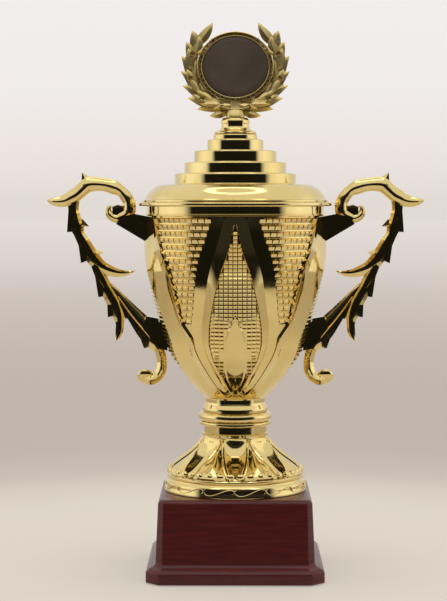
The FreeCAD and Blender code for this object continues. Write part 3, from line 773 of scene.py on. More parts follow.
def front_studs(bm, sizes, side):
    """Covers a panel with fine studs in a level grid, clear of the smooth leaf at its foot."""
    pitch, row = sizes.fine_pitch / MM, sizes.fine_row / MM
    height = 137.4
    while height < 258:
        radius = bowl_radius(height)
        low, high = bowl_zones(height)["side" if side else "panel"]
        reach = radius * math.sin(math.radians(high - low)) - 0.4
        half = 1.35 * pitch / 3.4
        count = int(reach / pitch) + 1
        for i in range(-count, count + 1):
            across = i * pitch
            if abs(across) > reach:
                continue
            clear = along(LENS, height)
            if not side and clear > 1.4 and abs(across) - half < clear:
                continue
            degrees = math.degrees(math.asin(across / radius)) + (90 if side else 0)
            for back in (0, 180):
                stud(bm, degrees + back, height, -FLOOR_DROP + 0.3, (pitch - 0.35, row - 0.2, 0.9))
        height += row


def field_studs(bm, sizes):
    """Fills the four fields between the bands with coarse studs, in columns along the band."""
    pitch, row = sizes.coarse_pitch / MM, sizes.coarse_row / MM
    height = 260.8
    while height > 184:
        radius = bowl_radius(height)
        start, end = (math.radians(a) * radius for a in bowl_zones(height)["field"])
        spot = start + 3.1
        while spot < end - 1.2:
            degrees = math.degrees(spot / radius)
            for turned in (degrees, -degrees, 180 + degrees, 180 - degrees):
                stud(bm, turned, height, -FLOOR_DROP + 0.55, (pitch - 0.5, row - 0.35, 1.7))
            spot += pitch
        height -= row


def smooth_leaf(bm, back):
    """Lays the smooth raised leaf over the foot of a panel."""
    made = bmesh.ops.create_grid(bm, x_segments=10, y_segments=40, size=1.0)
    for vert in made["verts"]:
        across, share = vert.co.x, 0.5 + 0.5 * vert.co.y
        height = 131.5 + 61.0 * share
        wide = along(LENS, height)
        rise = (1.0 + ease(174, 192.5, height)) * max(0.0, 1 - across * across) ** 0.5
        radius = bowl_radius(height) - FLOOR_DROP + rise - 0.05
        degrees = math.degrees(math.asin(across * wide / radius))
        vert.co = on_circle(radius, degrees + back, height)


class TROPHY_OT_bowl(bpy.types.Operator):
    """Model the bowl with its two-sided bands, studded panels and smooth leaves"""

    bl_idname = "trophy.bowl"
    bl_label = "Bowl"

    def execute(self, context):
        sizes = context.scene.trophy_sizes
        bm = bmesh.new()
        rows = 66
        neck = [
            (23.2, 118.5), (23.9, 118.9), (24.0, 120.6), (23.9, 121.6), (23.3, 123.0),
            (22.6, 124.4), (22.2, 125.6), (22.1, 126.0), (22.1, 126.4), (22.1, 128.6),
            (22.5, 129.4),
        ]
        side = []
        for i in range(rows + 1):
            height = 129.8 + (264.0 - 129.8) * i / rows
            side.append((bowl_radius(height), height))
        inside = []
        for i in range(14):
            height = 264.0 - (264.0 - 134.0) * i / 13
            inside.append((bowl_radius(height) - 3.4, height))
        floor = [(19.9, 131.0), (19.9, 121.0), (4.0, 121.0), (4.0, 118.5)]
        corners = neck + side + inside + floor
        tags = [False] * len(neck) + [True] * len(side) + [False] * (len(inside) + len(floor))
        columns = len(BOWL_COLUMNS) - 1
        spin_profile(bm, corners, 4 * columns, tags)
        carve(bm, columns, 2, 0.0, bowl_column)
        front_studs(bm, sizes, False)
        front_studs(bm, sizes, True)
        field_studs(bm, sizes)
        smooth_leaf(bm, 0)
        smooth_leaf(bm, 180)
        finish_piece(
            bm, "bowl_moulding", metallised_gold(context.scene.trophy_colours), "cup",
            ["bowl"], crease=8.0,
        )
        return {"FINISHED"}


# ---------------------------------------------------------------- rim and lid

class TROPHY_OT_rim(bpy.types.Operator):
    """Model the rim band that plugs into the bowl's mouth"""

    bl_idname = "trophy.rim"
    bl_label = "Rim band"

    def execute(self, context):
        bm = bmesh.new()
        spin_profile(bm, rounded([
            (61.4, 258.0), (63.3, 258.0), (63.3, 264.0), (66.2, 264.0, 0.3), (66.2, 265.2, 0.3),
            (65.6, 265.4), (65.6, 271.0, 0.4), (71.7, 271.0, 0.9), (71.7, 273.7, 1.1),
            (61.4, 273.7, 0.4),
        ]), 192)
        finish_piece(
            bm, "rim_moulding", metallised_gold(context.scene.trophy_colours), "cup",
            ["rim_band"], crease=35.0,
        )
        return {"FINISHED"}


class TROPHY_OT_lid(bpy.types.Operator):
    """Model the lid with its shallow dome and five steps"""

    bl_idname = "trophy.lid"
    bl_label = "Lid"

    def execute(self, context):
        bm = bmesh.new()
        tiers = [
            (44.9, 287.2, 295.0), (37.7, 295.0, 303.2), (30.5, 303.2, 311.8), (20.7, 311.8, 320.1),
        ]
        corners = [
            (67.2, 273.9), (68.9, 273.9, 0.4), (68.9, 275.3, 0.5), (67.2, 276.0, 0.5),
            (66.6, 277.2), (65.6, 279.1), (63.6, 281.6), (61.5, 283.6), (59.2, 285.2),
            (57.0, 286.2), (54.5, 286.8), (51.9, 287.0),
        ]
        for radius, low, high in tiers:
            corners += [(radius, low, 0.6), (radius, high, 1.2)]
        corners += [(16.3, 320.1, 0.4), (16.3, 324.0, 1.2), (4.0, 324.0), (4.0, 322.0)]
        corners += [(14.3, 322.0), (14.3, 318.1)]
        for radius, low, high in reversed(tiers):
            corners += [(radius - 2.0, high - 2.0), (radius - 2.0, low - 2.0)]
        corners += [(58.9, 283.0), (58.9, 266.5), (60.9, 266.5), (60.9, 281.0), (64.5, 277.6)]
        corners += [(67.0, 275.0)]
        spin_profile(bm, rounded(corners), 192)
        finish_piece(
            bm, "lid_moulding", metallised_gold(context.scene.trophy_colours), "lid",
            ["lid"], crease=24.0,
        )
        return {"FINISHED"}


class TROPHY_OT_knob(bpy.types.Operator):
    """Model the waisted knob under the wreath"""

    bl_idname = "trophy.knob"
    bl_label = "Finial knob"

    def execute(self, context):
        bm = bmesh.new()
        side = [
            (15.0, 324.0), (15.6, 324.4), (15.7, 325.1), (15.2, 325.8), (13.8, 326.3),
            (12.4, 326.8), (11.2, 327.7), (10.4, 329.0), (10.1, 330.4), (10.4, 331.6),
            (10.7, 332.8), (10.6, 334.0), (10.0, 335.1), (9.1, 335.9), (8.2, 336.1),
        ]
        spin_profile(bm, [(3.0, 324.0)] + side + [(3.0, 336.1)], 96)
        finish_piece(
            bm, "knob_moulding", metallised_gold(context.scene.trophy_colours), "lid",
            ["finial_knob"], crease=35.0,
        )
        return {"FINISHED"}


# ---------------------------------------------------------------- handles

SCROLL = [
    (139.8, 275.5, 0.3), (137.2, 274.8, 2.0), (133.8, 274.4, 3.3), (129, 274.5, 4.2),
    (124.9, 275.5, 4.7), (120.2, 278, 5.4), (115.8, 281.2, 5.1), (112.1, 284.4, 5.2),
    (108.5, 287, 5.7), (98, 286.9, 4.9), (90.2, 285, 5.3), (84.5, 281.9, 4.1), (81.2, 278.4, 4.5),
    (79.1, 274.7, 4.5), (78.4, 270.7, 4.8), (78.8, 267.2, 4.8), (80.9, 264.8, 4.6),
    (84.7, 263, 4.2), (87.8, 262, 3.6), (91, 263, 3.3), (93.2, 265.2, 3.0), (94.1, 267.8, 2.3),
    (93.2, 270.3, 1.5), (91.3, 270.9, 0.3),
]
UPPER_STEM = [
    (120, 275, 4.5), (119.9, 268, 3.9), (118.9, 262, 4.5), (117.5, 256, 5.2), (115.8, 250.5, 4.0),
    (112.8, 245, 4.6), (109.8, 239.5, 4.9), (106.5, 234, 5.2), (103.5, 229.8, 5.2),
    (99, 225.8, 4.6), (93, 223, 4.0), (87, 221.4, 3.0), (81, 221.2, 1.9), (74.5, 223, 0.2),
]
LOWER_STEM = [
    (104.5, 228.0, 3.0), (99.5, 218, 4.2), (96.5, 211, 4.8), (92.8, 204.5, 5.2), (89, 197, 5.2),
    (86.8, 190, 4.6), (85.9, 184, 3.1), (86.3, 178, 2.8), (87.8, 173.4, 1.6), (89.3, 170.9, 0.2),
]
ARM = [
    (95.5, 214.5, 1.2), (91, 209, 3.2), (86, 203, 4.0), (80.5, 196.5, 4.8), (75, 190, 5.8),
    (70, 184, 7.0), (65.5, 178, 7.5), (61, 171.5, 6.5), (57.5, 166, 4.5), (55.9, 162, 3.2),
]
END_CURL = [
    (56.9, 165.2, 3.2), (55.5, 161, 3.8), (54.6, 155.5, 3.7), (55, 150, 3.9), (57, 145.5, 4.0),
    (61, 142.7, 4.2), (65, 142.5, 4.5), (67.5, 143.5, 3.0),
]
STUB = [
    (88.0, 257.8), (84.5, 263.4), (74.3, 265.2), (62.5, 263.0), (62.0, 252.0), (67.0, 245.3),
]
BARBS = [
    ((106.5, 291.6), (113.5, 296.0), (114.2, 286.2), (109.5, 287.5)),
    ((123.6, 270.4), (124.9, 251.7), (117.0, 252.4), (119.2, 261.0)),
    ((113.2, 261.4), (108.4, 256.0), (115.6, 255.2), (117.0, 257.5)),
    ((116.6, 243.5), (114.6, 228.7), (107.5, 231.6), (109.6, 237.5)),
    ((104.6, 239.4), (97.6, 236.8), (103.0, 233.6), (106.0, 236.0)),
    ((104.6, 221.5), (101.8, 203.4), (94.5, 204.6), (98.0, 211.5)),
    ((95.4, 203.0), (94.8, 188.5), (88.0, 189.8), (90.2, 196.5)),
    ((74.0, 182.0), (68.0, 165.4), (58.5, 166.8), (64.0, 174.5)),
    ((90.5, 206.0), (81.6, 187.2), (74.8, 190.0), (84.5, 198.0)),
]
ARM_RIB = [(87.0, 204.0), (80.5, 195.0), (73.5, 186.0), (66.0, 177.0), (60.5, 170.5), (56.0, 165.6)]
# Outline of the flat plate that meets the bowl beside the arm.
PLATE = [
    (66.0, 189.5), (57.5, 188.0), (54.2, 180.0), (50.5, 168.0), (50.2, 164.1), (57.5, 165.5),
    (62.5, 172.0), (68.0, 182.0),
]


def handle_mesh():
    """Draws the right-hand handle: a thorned scroll, two leafy stems, the arm and the wall stub."""
    bm = bmesh.new()
    sweep(bm, [(x, 0, z, w, 0.8 + 0.6 * w) for x, z, w in SCROLL], 1.4, 8, 32)
    for strand, depth in ((UPPER_STEM, 0.5), (LOWER_STEM, 0.5), (ARM, 0.3)):
        sweep(bm, [(x, 0, z, w, 0.4 + depth * w) for x, z, w in strand], 1.0, 6, 12, 0.35)
    # Rib along the arm's outer side.
    sweep(bm, [(x, 0, z, 0.8, 3.4) for x, z in ARM_RIB], 2.0, 4, 12)
    sweep(bm, [(x, 0, z, w, 0.3 + 0.85 * w) for x, z, w in END_CURL], 1.3, 8, 32)
    for corners in BARBS:
        barb(bm, *corners)
    for outline, half in ((STUB, 6.4), (PLATE, 5.5)):
        face = bm.faces.new([bm.verts.new((x, -half, z)) for x, z in outline])
        made = bmesh.ops.extrude_face_region(bm, geom=[face])
        back = [v for v in made["geom"] if isinstance(v, bmesh.types.BMVert)]
        bmesh.ops.translate(bm, vec=(0, 2 * half, 0), verts=back)
    # Sunk web inside the curl.
    sweep(bm, [(82.5, 0, 268.5, 3.0, 1.8), (86.5, 0, 267.6, 4.6, 1.8), (91.0, 0, 267.4, 3.4, 1.8)],
          6.0, 4, 16)
    # The curl's ball is flattened and leans forward at the top.
    bmesh.ops.create_uvsphere(
        bm, u_segments=32, v_segments=20, radius=1.0,
        matrix=Matrix.Translation((66.8, 0, 144.4)) @ Matrix.Rotation(math.radians(28), 4, "X")
        @ Matrix.Diagonal((6.1, 3.0, 6.1, 1.0)),
    )
    return bm


class TROPHY_OT_handles(bpy.types.Operator):
    """Model the pair of thorned scroll handles"""

    bl_idname = "trophy.handles"
    bl_label = "Handles"

    def execute(self, context):
        gold = metallised_gold(context.scene.trophy_colours)
        for name, side in (("left", -1), ("right", 1)):
            bm = handle_mesh()
            bmesh.ops.scale(bm, vec=(side, 1, 1), verts=bm.verts)
            finish_piece(
                bm, "handle_%s_moulding" % name, gold, "cup", ["handle_" + name],
                crease=36.0,
            )
        return {"FINISHED"}


# ---------------------------------------------------------------- wreath and medallion

RING_MIDDLE = 373.6
RING_SQUASH = 0.915
# Links stand in the ring's channel, except near its top, where the cosine passes LINKLESS.
LINKS = 42
LINKLESS = 0.85
LINK_RADIUS = 26.35
LINK_SIZE = (2.2, 2.6, 2.3, 1.0)
OUTER_LEAVES = [
    ((5.0, 341.8), (19.0, 337.6), 3.2, -0.06), ((8.5, 343.0), (28.4, 342.4), 3.2, 0.04),
    ((18.0, 344.5), (35.0, 350.5), 3.8, 0.08), ((23.0, 349.5), (39.0, 359.7), 4.1, 0.1),
    ((28.5, 355.5), (40.2, 370.3), 4.2, 0.12), ((31.5, 365.0), (39.8, 381.4), 4.3, 0.1),
    ((31.0, 376.0), (36.4, 391.9), 4.4, 0.08), ((29.0, 385.0), (32.0, 400.3), 4.2, 0.06),
    ((28.5, 390.0), (16.6, 406.1), 3.8, 0.04),
]
INNER_LEAVES = [
    ((11.0, 344.0), (24.0, 348.4), 3.4, 0.1), ((19.0, 346.5), (31.4, 353.8), 3.4, -0.05),
    ((23.0, 350.0), (27.0, 363.0), 3.2, 0.05), ((29.0, 358.5), (35.6, 372.0), 3.6, 0.0),
    ((30.6, 364.0), (29.2, 379.5), 3.2, 0.06), ((32.4, 372.0), (34.2, 387.5), 3.7, 0.0),
    ((31.0, 381.0), (26.6, 396.5), 3.6, 0.1), ((29.5, 383.5), (17.0, 394.8), 2.8, 0.18),
]
LOW_LEAVES = [
    ((3.0, 345.5), (17.5, 343.0), 2.0), ((12.0, 346.0), (26.5, 346.4), 2.2),
    ((17.0, 349.5), (29.5, 356.5), 2.2), ((27.0, 355.0), (33.5, 366.0), 2.2),
]
BERRIES = [(31.6, 383.2), (33.0, 365.2), (24.6, 350.3), (9.7, 343.8)]


def ring_profile():
    """Section of the wreath's ring as (radius, depth), lips round a sunk channel."""
    return [
        (24.6, -2.3), (24.7, -2.7), (25.0, -2.9), (25.3, -2.6), (25.4, -0.3), (27.3, -0.3),
        (27.5, -2.8), (27.8, -3.1), (28.2, -2.7), (28.3, 2.2), (27.8, 2.9), (24.0, 2.9),
        (20.0, 2.4), (20.0, -1.0), (24.5, -1.0),
    ]


def place_ring(bm, verts):
    """Stands a ring drawn about the cup's axis upright as the wreath's slightly oval ring."""
    turn = Matrix.Rotation(math.radians(90), 4, "X")
    squash = Matrix.Diagonal((1.0, 1.0, RING_SQUASH, 1.0))
    lift = Matrix.Translation((0, 0, RING_MIDDLE))
    bmesh.ops.transform(bm, matrix=lift @ squash @ turn, verts=verts)


def berry(bm, x, z):
    """A small cup-shaped berry with a sunk middle."""
    made = bmesh.ops.create_cone(
        bm, cap_ends=True, segments=16, radius1=2.3, radius2=1.9, depth=2.6,
        matrix=Matrix.Translation((x, -2.6, z)) @ Matrix.Rotation(math.pi / 2, 4, "X"),
    )
    front = min(made["verts"], key=lambda v: v.co.y).co.y
    ring = {v for v in made["verts"] if v.co.y < front + 1e-3}
    cap = [f for f in bm.faces if all(v in ring for v in f.verts)]
    bmesh.ops.inset_region(bm, faces=cap, thickness=0.65, depth=0.0, use_even_offset=True)
    bmesh.ops.translate(bm, vec=(0, 1.2, 0), verts=list({v for f in cap for v in f.verts}))


class TROPHY_OT_wreath(bpy.types.Operator):
    """Model the laurel wreath round its beaded ring, with the tongue that stands on the knob"""

    bl_idname = "trophy.wreath"
    bl_label = "Laurel wreath"

    def execute(self, context):
        bm = bmesh.new()
        section = ring_profile()
        spin_profile(bm, [(radius, -depth) for radius, depth in section], 96)
        plate = bmesh.ops.create_circle(bm, cap_ends=True, segments=96, radius=20.5)
        bmesh.ops.translate(bm, vec=(0, 0, -1.2), verts=plate["verts"])
        back = bmesh.ops.create_circle(bm, cap_ends=True, segments=96, radius=20.5)
        bmesh.ops.translate(bm, vec=(0, 0, -2.2), verts=back["verts"])
        place_ring(bm, bm.verts)
        for i in range(LINKS):
            turn = math.radians(i * 360 / LINKS)
            if math.cos(turn) > LINKLESS:
                continue
            height = RING_MIDDLE + LINK_RADIUS * RING_SQUASH * math.cos(turn)
            spot = Matrix.Translation((LINK_RADIUS * math.sin(turn), -2.0, height))
            bmesh.ops.create_cube(
                bm, size=1.0,
                matrix=spot @ Matrix.Rotation(turn, 4, "Y") @ Matrix.Diagonal(LINK_SIZE),
            )
        for side in (-1, 1):
            for leaves, front in ((OUTER_LEAVES, -0.4), (INNER_LEAVES, -1.5)):
                for root, tip, wide, bow in leaves:
                    ends = (side * root[0], root[1]), (side * tip[0], tip[1])
                    leaf(bm, *ends, wide, front, -side * bow)
            for x, z in BERRIES:
                berry(bm, side * x, z)
        # Crossed stems that tie the two branches.
        for side in (-1, 1):
            sweep(bm, [
                (side * -7.5, -2.4, 343.2, 0.9, 1.0), (0, -2.8, 342.0, 1.1, 1.2),
                (side * 12.0, -2.2, 344.6, 1.0, 1.0), (side * 24.0, -1.2, 350.0, 1.0, 1.0),
                (side * 32.0, -0.8, 363.0, 1.0, 1.0), (side * 32.5, -0.6, 378.0, 1.0, 1.0),
                (side * 29.5, -0.6, 390.0, 0.8, 0.8),
            ], power=2.0, sides=10)
            # Web behind the leaves that holds the branch together.
            sweep(bm, [
                (side * 4.0, 0.6, 343.6, 1.6, 0.9), (side * 13.5, 0.6, 346.4, 3.6, 1.1),
                (side * 23.0, 0.6, 352.0, 5.0, 1.1), (side * 30.0, 0.6, 361.6, 5.2, 1.1),
                (side * 32.6, 0.6, 373.0, 4.4, 1.1), (side * 31.0, 0.6, 384.0, 3.8, 1.1),
                (side * 28.0, 0.6, 392.0, 2.0, 0.9),
            ], power=4.0, sides=12)
        # Crescent web under the ring.
        sweep(bm, [
            (-25.0, 0.2, 353.0, 2.4, 1.2), (-13.0, 0.2, 347.2, 3.0, 1.4), (0, 0.2, 345.2, 3.2, 1.6),
            (13.0, 0.2, 347.2, 3.0, 1.4), (25.0, 0.2, 353.0, 2.4, 1.2),
        ], power=3.0, sides=16)
        for side in (-1, 1):
            for root, tip, wide in LOW_LEAVES:
                leaf(bm, (side * root[0], root[1]), (side * tip[0], tip[1]), wide, -2.4, 0.0, 1.1)
        # Tongue: a rounded stub that stands in the knob; the slot down its face is not drawn.
        sweep(bm, [
            (0, 0, 335.2, 5.0, 5.2), (0, 0, 336.2, 6.6, 6.2), (0, 0, 338.2, 6.9, 5.8),
            (0, 0, 340.6, 6.6, 4.6), (0, 0, 343.0, 5.4, 3.4), (0, 0, 348.5, 4.0, 2.4),
        ], power=2.6, sides=24)
        # The wreath's lacquer is satin, so it holds no sharp reflections.
        satin = metallised_gold(
            context.scene.trophy_colours, "metallised_abs_satin_gold", 0.36, 0.46,
        )
        finish_piece(bm, "wreath_moulding", satin, "lid", ["wreath"], crease=28.0)
        return {"FINISHED"}


class TROPHY_OT_medallion(bpy.types.Operator):
    """Model the blank oval disc in the wreath"""

    bl_idname = "trophy.medallion"
    bl_label = "Medallion disc"

    def execute(self, context):
        bm = bmesh.new()
        spin_profile(bm, [
            (0.001, 2.4), (10.0, 2.4), (20.0, 2.4), (23.6, 2.4), (24.1, 2.1), (24.3, 1.6),
            (24.3, 1.25), (0.001, 1.25),
        ], 96)
        place_ring(bm, bm.verts)
        finish_piece(
            bm, "medallion_plate", satin_disc(context.scene.trophy_colours), "lid",
            ["medallion_disc"], crease=50.0,
        )
        return {"FINISHED"}


# ---------------------------------------------------------------- inner parts

def inner_finishes():
    """Finishes of the parts that stay as the frame has them, by node."""
    # Bright zinc plating on turned steel shows a fine spangle.
    zinc = speckled("zinc_plated_steel", "#A9ACB2", "#C6C8CC", 0.6, 0.32, 1.0, 0.01)
    # Cast plaster is chalky with small pores.
    plaster = speckled("cast_gypsum_plaster", "#CFC9BB", "#E4DFD2", 1.5, 0.9, 0.0, 0.1)
    # Hard-pressed fibreboard shows short brown fibres.
    board = speckled("pressed_fibreboard", "#5A4029", "#7A5A3B", 0.9, 0.8, 0.0, 0.06)
    # Needled felt is matt and hairy.
    felt = speckled("needled_wool_felt_green", "#0F2A18", "#1D4428", 0.5, 0.98, 0.0, 0.2)
    # Closed-cell foam tape is off-white with fine cells.
    foam = speckled("polyethylene_foam_tape", "#D9D9D0", "#EDEDE6", 0.4, 0.7, 0.0, 0.05)
    return {
        "base_weight": plaster, "base_cover": board, "base_felt": felt, "disc_adhesive": foam,
        "cover_screws": zinc, "tie_rod": zinc, "base_washer": zinc, "base_nut": zinc,
        "bowl_washer": zinc, "bowl_nut": zinc, "handle_screws_left": zinc,
        "handle_screws_right": zinc, "topper_stud": zinc, "topper_washer": zinc,
        "topper_nut": zinc,
    }


class TROPHY_OT_inner_parts(bpy.types.Operator):
    """Give the weight, cover, felt, fixings and tape their finishes"""

    bl_idname = "trophy.inner_parts"
    bl_label = "Inner parts"

    def execute(self, context):
        for name, material in inner_finishes().items():
            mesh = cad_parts[name].data
            if mesh.materials:
                for slot in range(len(mesh.materials)):
                    mesh.materials[slot] = material
            else:
                mesh.materials.append(material)
        return {"FINISHED"}


# ---------------------------------------------------------------- stage

class TrophyStage(bpy.types.PropertyGroup):
    """Where the camera stands."""

    distance: FloatProperty(
        name="Distance", description="Camera's distance from the cup's axis", default=1.340,
        unit="LENGTH",
    )
    height: FloatProperty(
        name="Height", description="Camera's height above the floor", default=0.2719,
        unit="LENGTH",
    )
    tilt: FloatProperty(
        name="Tilt", description="How far the camera looks down", default=math.radians(3.03),
        subtype="ANGLE",
    )
    yaw: FloatProperty(
        name="Yaw", description="How far the camera turns to its left",
        default=math.radians(0.374), subtype="ANGLE",
    )
    lens: FloatProperty(
        name="Lens", description="Focal length in millimetres on a 36 mm high frame",
        default=108.18, min=20.0, max=300.0,
    )


# Tones by distance d from the cup in metres, as d / (d + 2), and by height above the horizon.
# They are painted light: the studio light's fall-off on floor and backdrop, with a painted pool of
# light under the cup.
FLOOR_PAINTED_LIGHT_TONES = [
    (0.0, "#DED6CA"), (0.138, "#DBD3C8"), (0.17, "#D5CCC1"), (0.2, "#C8BFB5"), (0.25, "#C0B6AD"),
    (0.369, "#C0B6AD"), (0.505, "#C7BDB4"), (0.657, "#D1C8C1"), (0.79, "#E1D8D3"),
    (0.937, "#EBE4DF"),
]
BACKDROP_PAINTED_LIGHT_TONES = [
    (0.0, "#E2DBD5"), (0.19, "#ECE4E1"), (0.37, "#F0EBE8"), (0.54, "#F2EDED"), (1.0, "#F4F0EE"),
]


# What the unseen ceiling gives back to the gold.
CEILING = (0.86, 0.85, 0.83, 1.0)


def floor_material():
    """Paper sweep, half matt and half glowing: painted light, paler under the cup and away in the
    distance.
    """
    material, tree = new_material("paper_sweep_painted_light")
    spot = add_node(tree, "ShaderNodeTexCoord").outputs["Object"]
    apart = add_node(tree, "ShaderNodeSeparateXYZ", {"Vector": spot})
    flat = add_node(
        tree, "ShaderNodeCombineXYZ", {"X": apart.outputs["X"], "Y": apart.outputs["Y"]})
    reach = add_node(
        tree, "ShaderNodeVectorMath", {"Vector": flat.outputs["Vector"]}, operation="LENGTH")
    beyond = add_node(tree, "ShaderNodeMath", {0: reach.outputs["Value"], 1: 2.0})
    share = add_node(
        tree, "ShaderNodeMath", {0: reach.outputs["Value"], 1: beyond.outputs[0]},
        operation="DIVIDE",
    )
    tone = add_node(tree, "ShaderNodeValToRGB", {"Fac": share.outputs["Value"]})
    ramp_stops(tone, [(place, linear(code)) for place, code in FLOOR_PAINTED_LIGHT_TONES])
    # The glow is painted light: the paper shines by itself as well as taking the lamps' light.
    glow = add_node(tree, "ShaderNodeEmission", {"Color": tone.outputs["Color"], "Strength": 0.97})
    matt = add_node(tree, "ShaderNodeBsdfDiffuse", {"Color": tone.outputs["Color"]})
    both = add_node(tree, "ShaderNodeMixShader", {
        "Fac": 0.5, 1: matt.outputs["BSDF"], 2: glow.outputs["Emission"],
    })
    close_material(tree, both)
    return material


def studio_world(scene):
    """Sets a painted backdrop for the camera, paler upwards, and, for the cup, a room lit from the
    sides and above.

    The cup's front faces the unlit end of the room, which gives polished gold its blacks."""
    world = bpy.data.worlds.new("studio_room")
    scene.world = world
    world.use_nodes = True
    tree = world.node_tree
    tree.nodes.clear()
    way = add_node(tree, "ShaderNodeTexCoord").outputs["Generated"]
    apart = add_node(tree, "ShaderNodeSeparateXYZ", {"Vector": way})
    ahead = add_node(tree, "ShaderNodeMath", {0: apart.outputs["Y"], 1: -1.0}, operation="MULTIPLY")
    around = add_node(
        tree, "ShaderNodeMath", {0: apart.outputs["X"], 1: ahead.outputs[0]}, operation="ARCTAN2")
    aside = add_node(tree, "ShaderNodeMath", {0: around.outputs[0]}, operation="ABSOLUTE")
    up = add_node(tree, "ShaderNodeMath", {0: apart.outputs["Z"]}, operation="ARCSINE")
    share = add_node(tree, "ShaderNodeMath", {0: aside.outputs[0], 1: math.pi}, operation="DIVIDE")
    walls = add_node(tree, "ShaderNodeValToRGB", {"Fac": share.outputs[0]})
    ramp_stops(walls, [
        (0.0, (0.01, 0.01, 0.01, 1)), (0.325, (0.012, 0.012, 0.012, 1)), (0.39, (1.0, 1.0, 1.0, 1)),
        (0.5, (1.2, 1.19, 1.17, 1)), (0.62, (1.1, 1.09, 1.07, 1)), (0.75, (0.8, 0.79, 0.78, 1)),
        (1.0, (0.72, 0.71, 0.7, 1)),
    ])
    raised = add_node(tree, "ShaderNodeMapRange", {
        "Value": up.outputs[0], "From Min": math.radians(24), "From Max": math.radians(36),
        "To Min": 0.0, "To Max": 1.0,
    }, interpolation_type="SMOOTHSTEP")
    room = add_node(tree, "ShaderNodeMix", {
        0: raised.outputs["Result"], 6: walls.outputs["Color"], 7: CEILING,
    }, data_type="RGBA")
    # The unlit end grows a little lighter upwards.
    dusk = add_node(tree, "ShaderNodeMapRange", {
        "Value": up.outputs[0], "From Min": math.radians(1.5), "From Max": math.radians(8),
        "To Min": 0.0, "To Max": 0.02,
    })
    # A ring-shaped soft lamp hangs right over the cup.
    lamp = add_node(tree, "ShaderNodeValToRGB", {"Fac": apart.outputs["Z"]})
    ramp_stops(lamp, [
        (0.0, (0, 0, 0, 1)), (0.925, (0, 0, 0, 1)), (0.94, (1, 1, 1, 1)), (0.96, (1, 1, 1, 1)),
        (0.975, (0, 0, 0, 1)),
    ])
    bright = add_node(
        tree, "ShaderNodeMath", {0: lamp.outputs["Color"], 1: 1.6}, operation="MULTIPLY")
    extra = add_node(tree, "ShaderNodeMath", {0: bright.outputs[0], 1: dusk.outputs["Result"]})
    whole = add_node(
        tree, "ShaderNodeVectorMath", {0: room.outputs[2], 1: extra.outputs[0]}, operation="ADD")
    lit = add_node(tree, "ShaderNodeBackground", {"Color": whole.outputs[0], "Strength": 1.0})
    # The camera sees a painted backdrop: its tones, paler upwards, stand in for the studio light's
    # fall-off.
    rise = add_node(tree, "ShaderNodeMapRange", {
        "Value": up.outputs[0], "From Min": 0.0, "From Max": math.radians(9.0), "To Min": 0.0,
        "To Max": 1.0,
    })
    painted_backdrop = add_node(tree, "ShaderNodeValToRGB", {"Fac": rise.outputs["Result"]})
    ramp_stops(painted_backdrop, [(place, linear(code)) for place, code in BACKDROP_PAINTED_LIGHT_TONES])
    seen = add_node(tree, "ShaderNodeBackground", {"Color": painted_backdrop.outputs["Color"], "Strength": 1.0})
    path = add_node(tree, "ShaderNodeLightPath")
    both = add_node(tree, "ShaderNodeMixShader", {
        "Fac": path.outputs["Is Camera Ray"], 1: lit.outputs[0], 2: seen.outputs[0],
    })
    add_node(tree, "ShaderNodeOutputWorld", {"Surface": both.outputs[0]})


def flat_sheet(name, box, height, material):
    """A level sheet of the stage, given as its least and greatest x and y."""
    bm = bmesh.new()
    bmesh.ops.create_grid(bm, x_segments=1, y_segments=1, size=1.0)
    low_x, high_x, low_y, high_y = box
    for vert in bm.verts:
        vert.co.x = low_x if vert.co.x < 0 else high_x
        vert.co.y = low_y if vert.co.y < 0 else high_y
        vert.co.z = height
    mesh = bpy.data.meshes.new(name)
    bm.to_mesh(mesh)
    bm.free()
    mesh.materials.append(material)
    sheet = bpy.data.objects.new(name, mesh)
    bpy.context.scene.collection.objects.link(sheet)
    return sheet


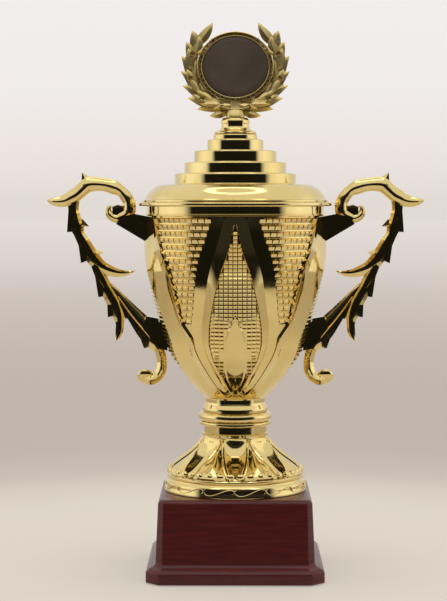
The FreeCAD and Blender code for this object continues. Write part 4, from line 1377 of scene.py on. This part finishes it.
class TROPHY_OT_stage(bpy.types.Operator):
    """Set the floor, the room's light and the camera"""

    bl_idname = "trophy.stage"
    bl_label = "Stage"

    def execute(self, context):
        scene = context.scene
        settings = scene.trophy_stage
        paper = floor_material()
        flat_sheet("table", (-1.6, 1.6, -0.345, 2.5), -0.0001, paper)
        ground = flat_sheet("ground", (-30.0, 30.0, -30.0, 30.0), -0.0006, paper)
        ground.visible_glossy = False
        ground.visible_diffuse = False
        studio_world(scene)
        lamp_data = bpy.data.lights.new("overhead_softbox", "AREA")
        lamp_data.shape = "RECTANGLE"
        lamp_data.size = 1.2
        lamp_data.size_y = 0.8
        lamp_data.energy = 6.0
        lamp = bpy.data.objects.new("overhead_softbox", lamp_data)
        lamp.location = (0.0, -0.2, 1.6)
        lamp.visible_glossy = False
        scene.collection.objects.link(lamp)
        camera_data = bpy.data.cameras.new("camera")
        camera_data.sensor_fit = "VERTICAL"
        camera_data.sensor_height = 36.0
        camera_data.lens = settings.lens
        camera_data.clip_start = 0.05
        camera_data.clip_end = 100.0
        camera = bpy.data.objects.new("camera", camera_data)
        camera.location = (0.0, -settings.distance, settings.height)
        camera.rotation_euler = (math.pi / 2 - settings.tilt, 0.0, settings.yaw)
        scene.collection.objects.link(camera)
        scene.camera = camera
        scene.view_settings.view_transform = "Standard"
        return {"FINISHED"}


# ---------------------------------------------------------------- panel and start

class TROPHY_PT_panel(bpy.types.Panel):
    """Lists the cup's operators"""

    bl_idname = "TROPHY_PT_panel"
    bl_label = "Presentation cup"
    bl_space_type = "VIEW_3D"
    bl_region_type = "UI"
    bl_category = "Cup"

    def draw(self, context):
        for operator in OPERATORS:
            self.layout.operator(operator.bl_idname)


OPERATORS = (
    TROPHY_OT_plinth, TROPHY_OT_foot, TROPHY_OT_stem, TROPHY_OT_bowl, TROPHY_OT_rim,
    TROPHY_OT_lid, TROPHY_OT_knob, TROPHY_OT_handles, TROPHY_OT_wreath, TROPHY_OT_medallion,
    TROPHY_OT_inner_parts, TROPHY_OT_stage,
)
SETTINGS = (
    ("trophy_colours", TrophyColours), ("trophy_sizes", TrophySizes),
    ("trophy_stage", TrophyStage),
)


def register():
    """Registers the settings, operators and panel."""
    for name, kind in SETTINGS:
        bpy.utils.register_class(kind)
        setattr(bpy.types.Scene, name, PointerProperty(type=kind))
    for kind in OPERATORS + (TROPHY_PT_panel,):
        bpy.utils.register_class(kind)


def unregister():
    """Removes what register added."""
    for kind in (TROPHY_PT_panel,) + OPERATORS[::-1]:
        bpy.utils.unregister_class(kind)
    for name, kind in SETTINGS[::-1]:
        delattr(bpy.types.Scene, name)
        bpy.utils.unregister_class(kind)


def main():
    """Makes every piece and the stage."""
    register()
    for operator in OPERATORS:
        group, name = operator.bl_idname.split(".")
        getattr(getattr(bpy.ops, group), name)()


if __name__ == "__main__":
    main()
